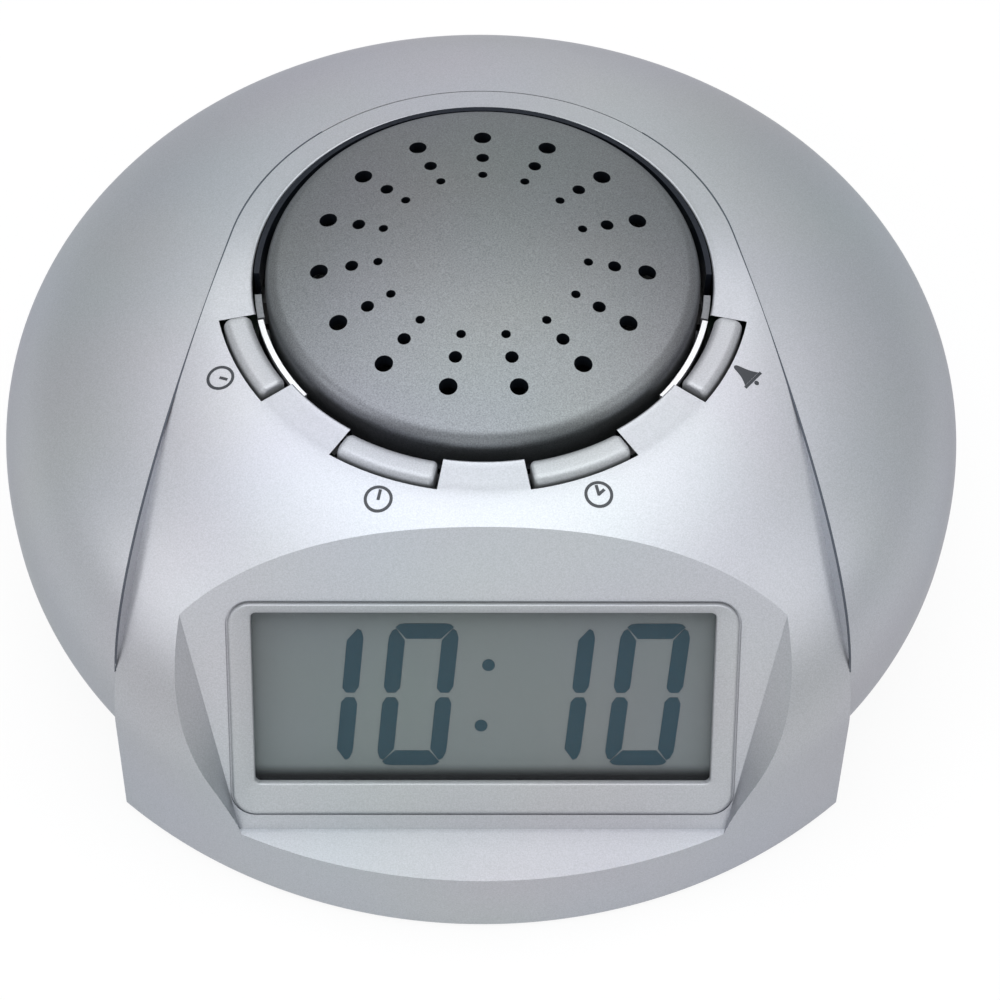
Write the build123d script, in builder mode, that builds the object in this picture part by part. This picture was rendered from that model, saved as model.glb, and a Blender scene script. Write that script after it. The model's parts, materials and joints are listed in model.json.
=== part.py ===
# Talking clock: a round domed case with a large perforated talk button, four set keys
# round it and a tilted liquid crystal display in a hooded front.
# Millimetres. X to the right, front towards -Y, Z up, origin at the bottom centre of the bounding box.
import os
from math import cos, pi, radians, sin

from build123d import *

os.makedirs("parts", exist_ok=True)

# Driving sizes of the case
body_width = 110.0
body_depth = 111.8
foot_proud = 0.5
wall = 2.0
dome_equator = 13.9
dome_rise = 25.5
dome_power = 2.85
dome_foot_tuck = 10.0
hood_radius = 60.6
seam_radius = 28.9
seam_splay = 12.8
seam_gap = 0.12
hole_radius = 25.5

# Front wall and crown of the hooded front, from the table up
hood_wall_top_radius = 59.3
hood_wall_top = 15.5
hood_shoulder_radius = 58.02
hood_shoulder = 30.2
hood_brow_radius = 34.3
hood_brow = 39.0
hood_ring_height = 37.9
hood_crown_radius = 12.0
hood_crown = 40.3

# Display recess, on a plane that leans back
face_tilt = 55.5
face_setback = 1.7
face_corner_run = 35.5
face_corner_half = 31.9
face_foot_half = 26.2
ledge_back_height = 8.7
ledge_rise_share = 0.107
flank_depth = 3.4
flank_foot_half = 25.0
flank_waist_half = 31.5
flank_waist_run = 21.5
flank_top_half = 34.8
flank_top_run = 34.0
recess_top_run = 66.0

# Display window, bezel and glass
bezel_width = 53.6
bezel_height = 24.5
bezel_foot_run = 11.9
bezel_proud = 0.7
bezel_corner = 2.4
bezel_bevel = 0.6
bezel_spigot = 0.8
bezel_groove = 0.25
window_width = 48.8
window_height = 19.9
window_foot_run = 15.4
window_corner = 0.6
bezel_lip_width = 0.9
bezel_fit = 0.1
bezel_sink = 0.3
lens_thick = 1.0
lens_gap = 0.1
glass_thick = 2.2
glass_width = 52.0
glass_height = 23.2
glass_drop = 0.3
glass_play = 0.2
glass_seat = 0.05
holder_rim = 1.2
strip_length = 50.0
strip_width = 2.0
strip_height = 1.6
strip_inset = 0.8
display_board_thick = 1.0
display_ear_half_pitch = 14.0
display_ear_rise = 1.4
display_ear_radius = 2.0
display_screw_radius = 0.8
display_screw_head_radius = 1.7
display_screw_head = 0.9
display_screw_tip = 0.9

# Talk button
cap_radius = 24.1
cap_apex = 42.3
cap_crown_radius = 105.0
cap_edge_round = 2.0
cap_wall = 1.6
cap_skirt_foot = 33.0
cap_lip_height = 1.0
cap_catch_reach = 1.05
cap_catch_arc = 12.0
catch_angles = (0.0, 120.0, -120.0)
talk_travel = 1.2
sound_rows = 15
sound_ring_radius = 18.07
sound_ring_shares = (1.0, 0.8, 0.64)
sound_hole_diameters = (2.0, 1.45, 1.05)

# Set keys
key_angles = (-65.0, -21.4, 21.4, 65.0)
key_names = ("hour_key", "minute_key", "time_key", "alarm_key")
key_inner_radius = 26.3
key_width = 2.8
key_half_arc = 10.9
key_crest = 38.95
key_round = 1.3
key_flange_inner = 25.75
key_flange_outer = 30.3
key_flange_half_arc = 13.2
key_flange_thick = 1.0
key_flange_top = 35.5
key_slot_outer = 29.6
key_slot_half_arc = 11.9
key_travel = 0.5

# Collar rings and guide posts in the button's gap
collar_inner = 24.75
collar_outer = 25.35
collar_top = 37.0
collar_low_top = 35.9
collar_rear_top = 38.2
collar_raised_angles = (-63.5, 63.5)
collar_raised_half_arc = 13.5
collar_foot = 34.2
collar_front_half_arc = 77.0
collar_rear_half_arc = 90.0
guide_start_angle = 77.8
guide_end_angle = 85.5
guide_inner = 24.55
guide_outer = 25.3
guide_top = 36.9
guide_foot_inner = 22.9
guide_foot = 0.8
collar_seat = 35.2
post_angles_front = (-43.2, 43.2)
post_angles_rear = (-130.0, 130.0)
post_circle_radius = 27.2
post_radius = 1.8
board_screw_reach = 36.9

# Boards and switches round the button
key_board_inner = 25.4
key_board_outer = 31.0
key_board_foot = 29.8
board_thick = 1.2
speaker_ring_inner = 17.2
speaker_ring_thick = 1.6
key_switch_width = 4.6
key_switch_height = 2.2
key_switch_tip_radius = 1.1
key_rest_gap = 0.1
talk_switch_width = 3.0
talk_switch_height = 1.4
talk_switch_tip_radius = 0.7
talk_rest_gap = 0.15
talk_circle_radius = 23.3
talk_switch_angles = (-90.0, 90.0)
spring_angles = (-60.0, 60.0, 180.0)
spring_outer = 1.15
spring_inner = 0.75
board_screw_radius = 0.8
board_screw_head_radius = 1.6
board_screw_head = 1.0
screw_play = 0.1
thread_play = 0.05
lug_width = 2.4
lug_thick = 1.0

# Loudspeaker
speaker_radius = 19.6
speaker_flange = 0.8
speaker_neck_radius = 17.0
speaker_basket_foot_radius = 8.2
speaker_depth = 8.0
speaker_sheet = 0.8
magnet_radius = 9.5
magnet_thick = 4.2
cone_rim_radius = 16.2
cone_roll_radius = 18.0
cone_sheet = 0.5
cone_drop = 4.2
dust_cap_rise = 1.6
dust_share = 0.6
dust_rise_share = 0.7
coil_groove = 0.9
magnet_floor = 1.2
speaker_screw_circle_radius = 20.6
speaker_screw_radius = 0.7
speaker_screw_head_radius = 1.5
speaker_screw_head = 0.8
speaker_screw_length = 2.2
speaker_screw_angles = (0.0, 120.0, -120.0)
speaker_ring_outer = 30.0
coil_radius = 5.0
coil_foot_gap = 0.5

# Base plate, battery box and door
base_thick = 2.6
base_gap = 0.3
battery_radius = 5.2
battery_length = 43.6
battery_nub_radius = 1.9
battery_nub = 0.9
battery_gap = 0.3
box_run = 13.1
box_wall = 1.2
box_play = 0.4
contact_room = 4.0
contact_thick = 0.4
contact_width = 8.0
contact_coil = 2.6
contact_tip = 1.4
contact_wire = 0.4
battery_lift = 0.3
door_thick = 1.5
door_margin = 1.4
door_gap = 0.15
door_travel = 5.0
tongue_length = 5.0
tongue_reach = 0.9
tongue_thick = 0.6
tongue_share = 0.27
grip_bars = 4
grip_share = 0.3
grip_width = 12.0
grip_pitch = 1.6
grip_bar = 0.7
grip_cut = 0.4

# Feet and case screws
foot_radius = 3.0
foot_thick = 1.1
foot_play = 0.1
foot_gap = 0.6
front_foot_half_pitch = 24.0
front_foot_run = 46.7
rear_foot_half_pitch = 18.0
boss_radius = 3.0
front_boss_half_pitch = 32.5
front_boss_run = 38.7
rear_boss_half_pitch = 34.5
web_run = 30.2
web_top = 22.0
case_screw_radius = 1.3
case_screw_head_radius = 2.5
case_screw_head = 1.3
case_screw_length = 9.0
case_screw_sink = 0.1
driver_slot = 0.5

# Main board and sliding alarm switch
main_board_width = 52.0
main_board_depth = 24.0
main_board_run = 18.7
main_board_foot = 8.2
main_post_radius = 2.2
main_post_inset = 3.0
main_pin_radius = 1.0
main_pin = 0.7
chip_radius = 5.0
chip_height = 1.4
chip_offset = 12.0
crystal_radius = 1.5
crystal_length = 6.0
crystal_offset = 14.0
crystal_edge = 0.3
alarm_slot_play = 0.3
alarm_body_length = 13.0
alarm_body_width = 6.0
alarm_knob_length = 3.4
alarm_knob_width = 2.6
alarm_knob_foot = 0.3
alarm_knob_flange = 1.0
alarm_flange_thick = 0.9
alarm_body_height = 4.0
alarm_knob_gap = 0.05
alarm_travel = 4.4

# One overrun serves all cuts
cut = 1.0
profile_samples = 8

# Places worked out from the driving sizes
dome_radius = body_width / 2
dome_y = body_depth / 2 - dome_radius
talk_y = hood_radius - body_depth / 2
dome_axis = Axis((0, dome_y, 0), (0, 0, 1))
talk_axis = Axis((0, talk_y, 0), (0, 0, 1))
face_front = body_depth / 2 - face_setback
base_foot = foot_proud
base_top = base_foot + base_thick
key_board_top = key_board_foot + board_thick
key_switch_tip = (
    key_flange_top - key_flange_thick - key_travel - key_rest_gap - key_board_top - key_switch_height
)
talk_switch_tip = cap_skirt_foot - talk_travel - talk_rest_gap - key_board_foot - talk_switch_height
speaker_ring_foot = key_board_foot - speaker_ring_thick
face_plane = Plane(
    origin=(0, -face_front, base_foot),
    x_dir=(1, 0, 0),
    z_dir=(0, -sin(radians(face_tilt)), cos(radians(face_tilt))),
)
ledge_run = (ledge_back_height - base_foot) / sin(radians(face_tilt))
window_run = window_foot_run + window_height / 2
bezel_run = bezel_foot_run + bezel_height / 2
opening_width = window_width + 2 * bezel_lip_width
opening_height = window_height + 2 * bezel_lip_width
glass_run = window_run - glass_drop
glass_front = wall + glass_seat
strip_front = glass_front + glass_thick
display_board_front = strip_front + strip_height
display_board_back = display_board_front + display_board_thick
holder_width = glass_width + 2 * (glass_play + holder_rim)
holder_height = glass_height + 2 * (glass_play + holder_rim)
ear_offset = holder_height / 2 + display_ear_rise
post_angles = post_angles_front + post_angles_rear
key_mid_radius = key_inner_radius + key_width / 2
box_length = battery_length + battery_nub + 2 * contact_thick + contact_room
box_width = 4 * battery_radius + battery_gap + 2 * box_play
door_top = base_foot + door_thick
battery_z = door_top + battery_lift + battery_radius
box_ceiling = battery_z + battery_radius + box_play
door_width = box_length + 2 * door_margin
door_length = box_width + 2 * door_margin
battery_pitch = 2 * battery_radius + battery_gap
speaker_foot = key_board_foot - speaker_depth
box_center_y = dome_y + box_run
main_board_center_y = talk_y - main_board_run
web_back = web_run - talk_y
pocket_back = box_center_y + door_length / 2 + door_gap + door_travel
front_foot_y = talk_y - front_foot_run
rear_foot_y = pocket_back + foot_gap + foot_play + foot_radius
foot_places = (
    (-front_foot_half_pitch, front_foot_y),
    (front_foot_half_pitch, front_foot_y),
    (-rear_foot_half_pitch, rear_foot_y),
    (rear_foot_half_pitch, rear_foot_y),
)
front_boss_y = talk_y - front_boss_run
boss_places_front = ((-front_boss_half_pitch, front_boss_y), (front_boss_half_pitch, front_boss_y))
boss_places_rear = ((-rear_boss_half_pitch, box_center_y), (rear_boss_half_pitch, box_center_y))
boss_places = boss_places_front + boss_places_rear
ear_spots = [
    (x, glass_run + y)
    for x in (-display_ear_half_pitch, display_ear_half_pitch)
    for y in (-ear_offset, ear_offset)
]


def upright(y):
    # Plane through a vertical axis at y, with local x as radius and local y as height
    return Plane(origin=(0, y, 0), x_dir=(1, 0, 0), z_dir=(0, -1, 0))


def polar_point(radius, angle):
    # Angle is counted from the front, towards +X
    return (radius * sin(radians(angle)), talk_y - radius * cos(radians(angle)))


def dome_half(inset):
    # Half section of the dome: a superellipse above the equator, a tucked-in quarter ellipse below
    radius = dome_radius - inset
    rise = dome_rise - inset
    steps = [pi / 2 * i / profile_samples for i in range(profile_samples + 1)]
    power = 2 / dome_power
    crown = [(radius * cos(a) ** power, dome_equator + rise * sin(a) ** power) for a in steps[1:-1]]
    crown = [(radius, dome_equator)] + crown + [(0, dome_equator + rise)]
    with BuildSketch(upright(dome_y)) as half:
        with BuildLine():
            foot = (radius - dome_foot_tuck, base_foot)
            Spline(*crown, tangents=((0, 1), (-1, 0)))
            Line(crown[-1], (0, base_foot))
            Line((0, base_foot), foot)
            Bezier(foot, (radius, base_foot + (dome_equator - base_foot) / 3), (radius, dome_equator))
        make_face()
    return half.sketch


def hood_half(inset):
    # Half section of the front: a drafted wall, then one curve over the shoulder to the ring
    drop = inset * hood_wall_top_radius / hood_radius
    wall_top = (hood_wall_top_radius - inset, hood_wall_top)
    ring = (seam_radius, hood_ring_height - drop)
    crown = (hood_crown_radius, hood_crown - drop)
    with BuildSketch(upright(talk_y)) as half:
        with BuildLine():
            Line((0, base_foot), (hood_radius - inset, base_foot))
            Line((hood_radius - inset, base_foot), wall_top)
            Bezier(
                wall_top,
                (hood_shoulder_radius - inset, hood_shoulder - drop / 2),
                (hood_brow_radius - inset / 2, hood_brow - drop),
                ring,
            )
            Line(ring, crown)
            Line(crown, (0, hood_crown - drop))
            Line((0, hood_crown - drop), (0, base_foot))
        make_face()
    return half.sketch


def seam_outline(inset):
    # Plan of the front: the ring round the talk hole and two tangent sides that splay to the front
    radius = seam_radius - inset
    side = (radius * cos(radians(seam_splay)), radius * sin(radians(seam_splay)))
    run = body_depth
    far = (side[0] + run * sin(radians(seam_splay)), side[1] - run * cos(radians(seam_splay)))
    with BuildSketch(Plane.XY.offset(-cut)) as plan:
        with Locations((0, talk_y)):
            Circle(radius)
        with BuildLine():
            Polyline(
                (-side[0], talk_y + side[1]),
                (side[0], talk_y + side[1]),
                (far[0], talk_y + far[1]),
                (-far[0], talk_y + far[1]),
                close=True,
            )
        make_face()
    return plan.sketch


def side_half(run):
    # Half width of the display panel at a distance up the display plane
    share = (run - ledge_run) / (face_corner_run - ledge_run)
    return face_foot_half + (face_corner_half - face_foot_half) * share


def ledge_foot(out, grow):
    # Distance up the display plane to the rising ledge, at a height out of the plane
    rise, run = sin(radians(face_tilt)), cos(radians(face_tilt))
    ahead = ledge_rise_share * (ledge_run * run + out * rise)
    return (ledge_back_height - base_foot - grow - out * run + ahead) / (rise + ledge_rise_share * run)


def recess_tool(grow):
    # Space in front of the display: floor on the display plane, rising ledge, flanks that open outwards
    floor_foot = ledge_foot(-grow, grow)
    rim_foot = ledge_foot(flank_depth, grow)
    top_half = side_half(recess_top_run) + grow
    with BuildPart() as tool:
        with BuildSketch(face_plane.offset(-grow)):
            with BuildLine():
                Line((-side_half(ledge_run) - grow, floor_foot), (side_half(ledge_run) + grow, floor_foot))
                Line(
                    (side_half(ledge_run) + grow, floor_foot),
                    (face_corner_half + grow, face_corner_run),
                )
                Line((face_corner_half + grow, face_corner_run), (top_half, recess_top_run))
                Line((top_half, recess_top_run), (-top_half, recess_top_run))
                Line((-top_half, recess_top_run), (-face_corner_half - grow, face_corner_run))
                Line(
                    (-face_corner_half - grow, face_corner_run),
                    (-side_half(ledge_run) - grow, floor_foot),
                )
            make_face()
        with BuildSketch(face_plane.offset(flank_depth)) as rim:
            with BuildLine():
                Line((-flank_foot_half - grow, rim_foot), (flank_foot_half + grow, rim_foot))
                ThreePointArc(
                    (flank_foot_half + grow, rim_foot),
                    (flank_waist_half + grow, flank_waist_run),
                    (flank_top_half + grow, flank_top_run),
                )
                Line((flank_top_half + grow, flank_top_run), (top_half, recess_top_run))
                Line((top_half, recess_top_run), (-top_half, recess_top_run))
                Line((-top_half, recess_top_run), (-flank_top_half - grow, flank_top_run))
                ThreePointArc(
                    (-flank_top_half - grow, flank_top_run),
                    (-flank_waist_half - grow, flank_waist_run),
                    (-flank_foot_half - grow, rim_foot),
                )
            make_face()
        loft(ruled=True)
        extrude(rim.sketch, amount=hood_radius, dir=(0, -1, ledge_rise_share))
    return tool.part


def ring_sector(inner, outer, angle, half_arc):
    # Plan sector between two radii round the talk axis
    start = angle - half_arc - 90
    with BuildLine() as outline:
        rim = CenterArc((0, talk_y), outer, start, 2 * half_arc)
        bore = CenterArc((0, talk_y), inner, start, 2 * half_arc)
        Line(rim @ 0, bore @ 0)
        Line(rim @ 1, bore @ 1)
    make_face(outline.edges())


def sector_plane(angle):
    # Upright plane through the talk axis, local x pointing out at the given angle from the front
    out = (sin(radians(angle)), -cos(radians(angle)))
    return Plane(origin=(0, talk_y, 0), x_dir=(out[0], out[1], 0), z_dir=(out[1], -out[0], 0))


def screw(name, places, plane, head_radius, head, radius, length):
    # Pan head below the plane, shank above it, with a driver slot
    with BuildPart() as group:
        with BuildSketch(plane.offset(-head)):
            with Locations(*places):
                Circle(head_radius)
        extrude(amount=head)
        with BuildSketch(plane):
            with Locations(*places):
                Circle(radius)
        extrude(amount=length)
        with BuildSketch(plane.offset(-head)):
            with Locations(*places):
                Rectangle(2 * head_radius, driver_slot)
        extrude(amount=head / 2, mode=Mode.SUBTRACT)
    save(group, name)


def polar_points(radius, angles):
    return [polar_point(radius, angle) for angle in angles]


def plate(plane, width, height, run, thick, corner=0.0, mode=Mode.ADD):
    # Flat block on a plane, its middle lifted by run along the plane
    with BuildSketch(plane) as outline:
        with Locations((0, run)):
            if corner:
                RectangleRounded(width, height, corner)
            else:
                Rectangle(width, height)
    extrude(outline.sketch, amount=thick, mode=mode)


def rods(plane, places, radius, length, mode=Mode.ADD):
    # Round rods or holes that stand on a plane
    with BuildSketch(plane) as outline:
        with Locations(*places):
            Circle(radius)
    extrude(outline.sketch, amount=length, mode=mode)


def sectors(height, inner, outer, angles, half_arc, thick, mode=Mode.ADD):
    # Ring sectors round the talk axis, standing on a level plane
    with BuildSketch(Plane.XY.offset(height)) as outline:
        for angle in angles:
            ring_sector(inner, outer, angle, half_arc)
    extrude(outline.sketch, amount=thick, mode=mode)


def save(piece, name):
    piece.part.label = name
    export_step(piece.part, f"parts/{name}.step")
    print(name, len(piece.part.solids()))


# Front cover: shell of the hooded front with the ring, the slots and the display recess
with BuildPart() as front_cavity:
    add(hood_half(wall))
    revolve(axis=talk_axis)
    with BuildSketch(Plane.XY.offset(-cut)):
        with Locations((0, -web_back)):
            Rectangle(body_width, body_depth, align=(Align.CENTER, Align.MAX))
        add(seam_outline(wall), mode=Mode.SUBTRACT)
    extrude(amount=web_top + cut, mode=Mode.SUBTRACT)
    with BuildSketch(Plane.XY.offset(base_top)):
        with Locations(*boss_places_front):
            Circle(boss_radius)
    extrude(amount=body_depth, mode=Mode.SUBTRACT)
    with BuildSketch(Plane.XY.offset(collar_seat)):
        with Locations(*polar_points(post_circle_radius, post_angles)):
            Circle(post_radius)
    extrude(amount=wall * 2, mode=Mode.SUBTRACT)
    add(recess_tool(wall), mode=Mode.SUBTRACT)

with BuildPart() as front_cover:
    add(hood_half(0))
    revolve(axis=talk_axis)
    add(seam_outline(seam_gap))
    extrude(amount=body_depth, mode=Mode.INTERSECT)
    add(recess_tool(0), mode=Mode.SUBTRACT)
    add(front_cavity.part, mode=Mode.SUBTRACT)
    rods(Plane.XY.offset(cap_skirt_foot), [(0, talk_y)], hole_radius, body_width, Mode.SUBTRACT)
    sectors(
        cap_skirt_foot,
        hole_radius - cut,
        key_slot_outer,
        key_angles,
        key_slot_half_arc,
        body_width,
        Mode.SUBTRACT,
    )
    # Seat, opening and screw holes of the display
    plate(
        face_plane.offset(-bezel_sink),
        bezel_width + 2 * bezel_groove,
        bezel_height + 2 * bezel_groove,
        bezel_run,
        bezel_sink + cut,
        bezel_corner + bezel_groove,
        Mode.SUBTRACT,
    )
    plate(
        face_plane.offset(-wall - cut),
        opening_width,
        opening_height,
        window_run,
        wall + 2 * cut,
        window_corner,
        Mode.SUBTRACT,
    )
    rods(
        face_plane.offset(-wall - cut),
        ear_spots,
        display_screw_radius + thread_play,
        wall + cut - display_screw_tip + screw_play,
        Mode.SUBTRACT,
    )
    rods(
        Plane.XY.offset(collar_seat - cut),
        polar_points(post_circle_radius, post_angles),
        board_screw_radius + thread_play,
        board_screw_reach + screw_play - collar_seat + cut,
        Mode.SUBTRACT,
    )
    rods(
        Plane.XY.offset(base_top - cut),
        boss_places_front,
        case_screw_radius + thread_play,
        case_screw_length + cut,
        Mode.SUBTRACT,
    )
save(front_cover, "front_cover")

# Rear cover: the dome, cut away along the seam, with its two screw bosses
with BuildPart() as rear_cavity:
    add(dome_half(wall))
    revolve(axis=dome_axis)
    rods(Plane.XY.offset(base_top), boss_places_rear, boss_radius, body_depth, Mode.SUBTRACT)

with BuildPart() as rear_cover:
    add(dome_half(0))
    revolve(axis=dome_axis)
    add(rear_cavity.part, mode=Mode.SUBTRACT)
    add(seam_outline(0))
    extrude(amount=body_depth, mode=Mode.SUBTRACT)
    rods(
        Plane.XY.offset(base_top - cut),
        boss_places_rear,
        case_screw_radius + thread_play,
        case_screw_length + cut,
        Mode.SUBTRACT,
    )
save(rear_cover, "rear_cover")

# Talk button: a crowned cap with fans of sound holes, a skirt and three catches
with BuildPart() as talk_button:
    with BuildSketch(upright(talk_y)):
        with Locations((0, cap_apex - cap_crown_radius)):
            Circle(cap_crown_radius)
        with Locations((0, cap_skirt_foot)):
            Rectangle(cap_radius, cap_apex, align=(Align.MIN, Align.MIN), mode=Mode.INTERSECT)
    revolve(axis=talk_axis)
    rim = talk_button.edges().sort_by(SortBy.LENGTH)[-2:].sort_by(Axis.Z)[-1]
    fillet(rim, cap_edge_round)
    with BuildSketch(upright(talk_y)):
        with Locations((0, cap_apex - cap_crown_radius)):
            Circle(cap_crown_radius - cap_wall)
        with Locations((0, cap_skirt_foot - cut)):
            Rectangle(cap_radius - cap_wall, cap_apex, align=(Align.MIN, Align.MIN), mode=Mode.INTERSECT)
    revolve(axis=talk_axis, mode=Mode.SUBTRACT)
    sectors(
        cap_skirt_foot,
        cap_radius - cap_wall / 2,
        cap_radius + cap_catch_reach,
        catch_angles,
        cap_catch_arc / 2,
        cap_lip_height,
    )
    with BuildSketch(Plane.XY.offset(cap_skirt_foot)):
        for share, width in zip(sound_ring_shares, sound_hole_diameters):
            angles = [180 + 360 * i / sound_rows for i in range(sound_rows)]
            with Locations(*polar_points(sound_ring_radius * share, angles)):
                Circle(width / 2)
    extrude(amount=cap_apex, mode=Mode.SUBTRACT)
save(talk_button, "talk_button")

# Set keys: a half-round bar on a flange that the cover holds down
for key_name, key_angle in zip(key_names, key_angles):
    with BuildPart() as key:
        with BuildSketch(sector_plane(key_angle - key_half_arc)) as bar:
            with Locations((key_mid_radius, key_flange_top - key_flange_thick)):
                Rectangle(
                    key_width,
                    key_crest - key_flange_top + key_flange_thick,
                    align=(Align.CENTER, Align.MIN),
                )
            fillet(bar.vertices().group_by(Axis.Y)[-1], key_round)
        revolve(axis=talk_axis, revolution_arc=2 * key_half_arc)
        sectors(
            key_flange_top - key_flange_thick,
            key_flange_inner,
            key_flange_outer,
            (key_angle,),
            key_flange_half_arc,
            key_flange_thick,
        )
    save(key, key_name)


def collar(name, middle, half_arc, top, angles, raised_angles=()):
    # Thin ring in the button's gap, on two posts, with raised stretches behind the side keys
    with BuildPart() as ring:
        sectors(collar_foot, collar_inner, collar_outer, (middle,), half_arc, top - collar_foot)
        if raised_angles:
            sectors(
                collar_foot,
                collar_inner,
                collar_outer,
                raised_angles,
                collar_raised_half_arc,
                collar_top - collar_foot,
            )
        with BuildSketch(Plane.XY.offset(collar_foot)):
            for angle in angles:
                with Locations(Location((0, talk_y, 0), (0, 0, angle - 90))):
                    with Locations((collar_inner + collar_outer) / 2 * Vector(1, 0, 0)):
                        Rectangle(
                            post_circle_radius - collar_inner,
                            lug_width,
                            align=(Align.MIN, Align.CENTER),
                        )
        extrude(amount=lug_thick)
        rods(
            Plane.XY.offset(key_board_top),
            polar_points(post_circle_radius, angles),
            post_radius,
            collar_seat - key_board_top,
        )
        rods(
            Plane.XY.offset(key_board_top - cut),
            polar_points(post_circle_radius, angles),
            board_screw_radius + screw_play,
            body_width,
            Mode.SUBTRACT,
        )
    save(ring, name)


collar("front_collar", 0, collar_front_half_arc, collar_low_top, post_angles_front, collar_raised_angles)
collar("rear_collar", 180, collar_rear_half_arc, collar_rear_top, post_angles_rear)

# Guide posts that stand in the gaps between the two collars
with BuildPart() as guide_posts:
    guide_mid = (guide_start_angle + guide_end_angle) / 2
    guide_half = (guide_end_angle - guide_start_angle) / 2
    sectors(
        key_board_foot,
        guide_inner,
        guide_outer,
        (-guide_mid, guide_mid),
        guide_half,
        guide_top - key_board_foot,
    )
    sectors(
        key_board_foot,
        guide_foot_inner,
        guide_outer,
        (-guide_mid, guide_mid),
        guide_half,
        guide_foot,
    )
save(guide_posts, "guide_posts")

# Key board, its switches and the screws that hold the ring stack to the cover
with BuildPart() as key_board:
    with BuildSketch(Plane.XY.offset(key_board_foot)):
        with Locations((0, talk_y)):
            Circle(key_board_outer)
            Circle(key_board_inner, mode=Mode.SUBTRACT)
        with Locations(*polar_points(post_circle_radius, post_angles)):
            Circle(board_screw_radius + screw_play, mode=Mode.SUBTRACT)
    extrude(amount=board_thick)
save(key_board, "key_board")

with BuildPart() as speaker_ring:
    with BuildSketch(Plane.XY.offset(speaker_ring_foot)):
        with Locations((0, talk_y)):
            Circle(speaker_ring_outer)
            Circle(speaker_ring_inner, mode=Mode.SUBTRACT)
        with Locations(*polar_points(post_circle_radius, post_angles)):
            Circle(board_screw_radius + screw_play, mode=Mode.SUBTRACT)
        with Locations(*polar_points(speaker_screw_circle_radius, speaker_screw_angles)):
            Circle(speaker_screw_radius + thread_play, mode=Mode.SUBTRACT)
    extrude(amount=speaker_ring_thick)
save(speaker_ring, "speaker_ring")


def switches(name, height, circle, angles, side, body_height, tip_radius, tip):
    # Square push switches with a round tip
    with BuildPart() as group:
        with BuildSketch(Plane.XY.offset(height)):
            for angle in angles:
                spot = polar_point(circle, angle)
                with Locations(Location((spot[0], spot[1], 0), (0, 0, angle))):
                    Rectangle(side, side)
        extrude(amount=body_height)
        rods(Plane.XY.offset(height), polar_points(circle, angles), tip_radius, body_height + tip)
    save(group, name)


switches(
    "key_switches",
    key_board_top,
    key_mid_radius,
    key_angles,
    key_switch_width,
    key_switch_height,
    key_switch_tip_radius,
    key_switch_tip,
)
switches(
    "talk_switches",
    key_board_foot,
    talk_circle_radius,
    talk_switch_angles,
    talk_switch_width,
    talk_switch_height,
    talk_switch_tip_radius,
    talk_switch_tip,
)

with BuildPart() as talk_springs:
    with BuildSketch(Plane.XY.offset(key_board_foot)):
        with Locations(*polar_points(talk_circle_radius, spring_angles)):
            Circle(spring_outer)
            Circle(spring_inner, mode=Mode.SUBTRACT)
    extrude(amount=cap_skirt_foot - key_board_foot)
save(talk_springs, "talk_springs")

screw(
    "board_screws",
    polar_points(post_circle_radius, post_angles),
    Plane.XY.offset(speaker_ring_foot),
    board_screw_head_radius,
    board_screw_head,
    board_screw_radius,
    board_screw_reach - speaker_ring_foot,
)

# Loudspeaker: basket, cone with coil and dust cap, magnet and three screws
with BuildPart() as speaker_frame:
    with BuildSketch(upright(talk_y)):
        with BuildLine():
            Polyline(
                (coil_radius + coil_groove, speaker_foot),
                (speaker_basket_foot_radius, speaker_foot),
                (speaker_neck_radius, key_board_foot),
                (speaker_radius, key_board_foot),
                (speaker_radius, key_board_foot + speaker_flange),
                (speaker_neck_radius - speaker_sheet, key_board_foot + speaker_flange),
                (speaker_basket_foot_radius - speaker_sheet, speaker_foot + speaker_sheet),
                (coil_radius + coil_groove, speaker_foot + speaker_sheet),
                close=True,
            )
        make_face()
    revolve(axis=talk_axis)
save(speaker_frame, "speaker_frame")

with BuildPart() as speaker_cone:
    cone_top = key_board_foot + speaker_flange + cone_sheet
    coil_top = cone_top - cone_drop
    with BuildSketch(upright(talk_y)):
        with BuildLine():
            Polyline(
                (cone_roll_radius, cone_top),
                (cone_rim_radius, cone_top),
                (coil_radius, coil_top),
                (coil_radius * dust_share, coil_top + dust_cap_rise * dust_rise_share),
                (0, coil_top + dust_cap_rise),
                (0, coil_top + dust_cap_rise - cone_sheet),
                (coil_radius * dust_share, coil_top + dust_cap_rise * dust_rise_share - cone_sheet),
                (coil_radius - cone_sheet, coil_top - cone_sheet),
                (coil_radius - cone_sheet, speaker_foot + coil_foot_gap),
                (coil_radius, speaker_foot + coil_foot_gap),
                (coil_radius, coil_top - cone_sheet),
                (cone_rim_radius, cone_top - cone_sheet),
                (cone_roll_radius, cone_top - cone_sheet),
                close=True,
            )
        make_face()
    revolve(axis=talk_axis)
save(speaker_cone, "speaker_cone")

with BuildPart() as speaker_magnet:
    rods(Plane.XY.offset(speaker_foot - magnet_thick), [(0, talk_y)], magnet_radius, magnet_thick)
    with BuildSketch(Plane.XY.offset(speaker_foot)):
        with Locations((0, talk_y)):
            Circle(coil_radius + coil_groove)
            Circle(coil_radius - cone_sheet - coil_groove, mode=Mode.SUBTRACT)
    extrude(amount=magnet_floor - magnet_thick, mode=Mode.SUBTRACT)
save(speaker_magnet, "speaker_magnet")

speaker_screw_spots = polar_points(speaker_screw_circle_radius, speaker_screw_angles)
screw(
    "speaker_screws",
    [(x, -y) for x, y in speaker_screw_spots],
    Plane(origin=(0, 0, key_board_foot + speaker_flange), x_dir=(1, 0, 0), z_dir=(0, 0, -1)),
    speaker_screw_head_radius,
    speaker_screw_head,
    speaker_screw_radius,
    speaker_screw_length,
)

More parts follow.
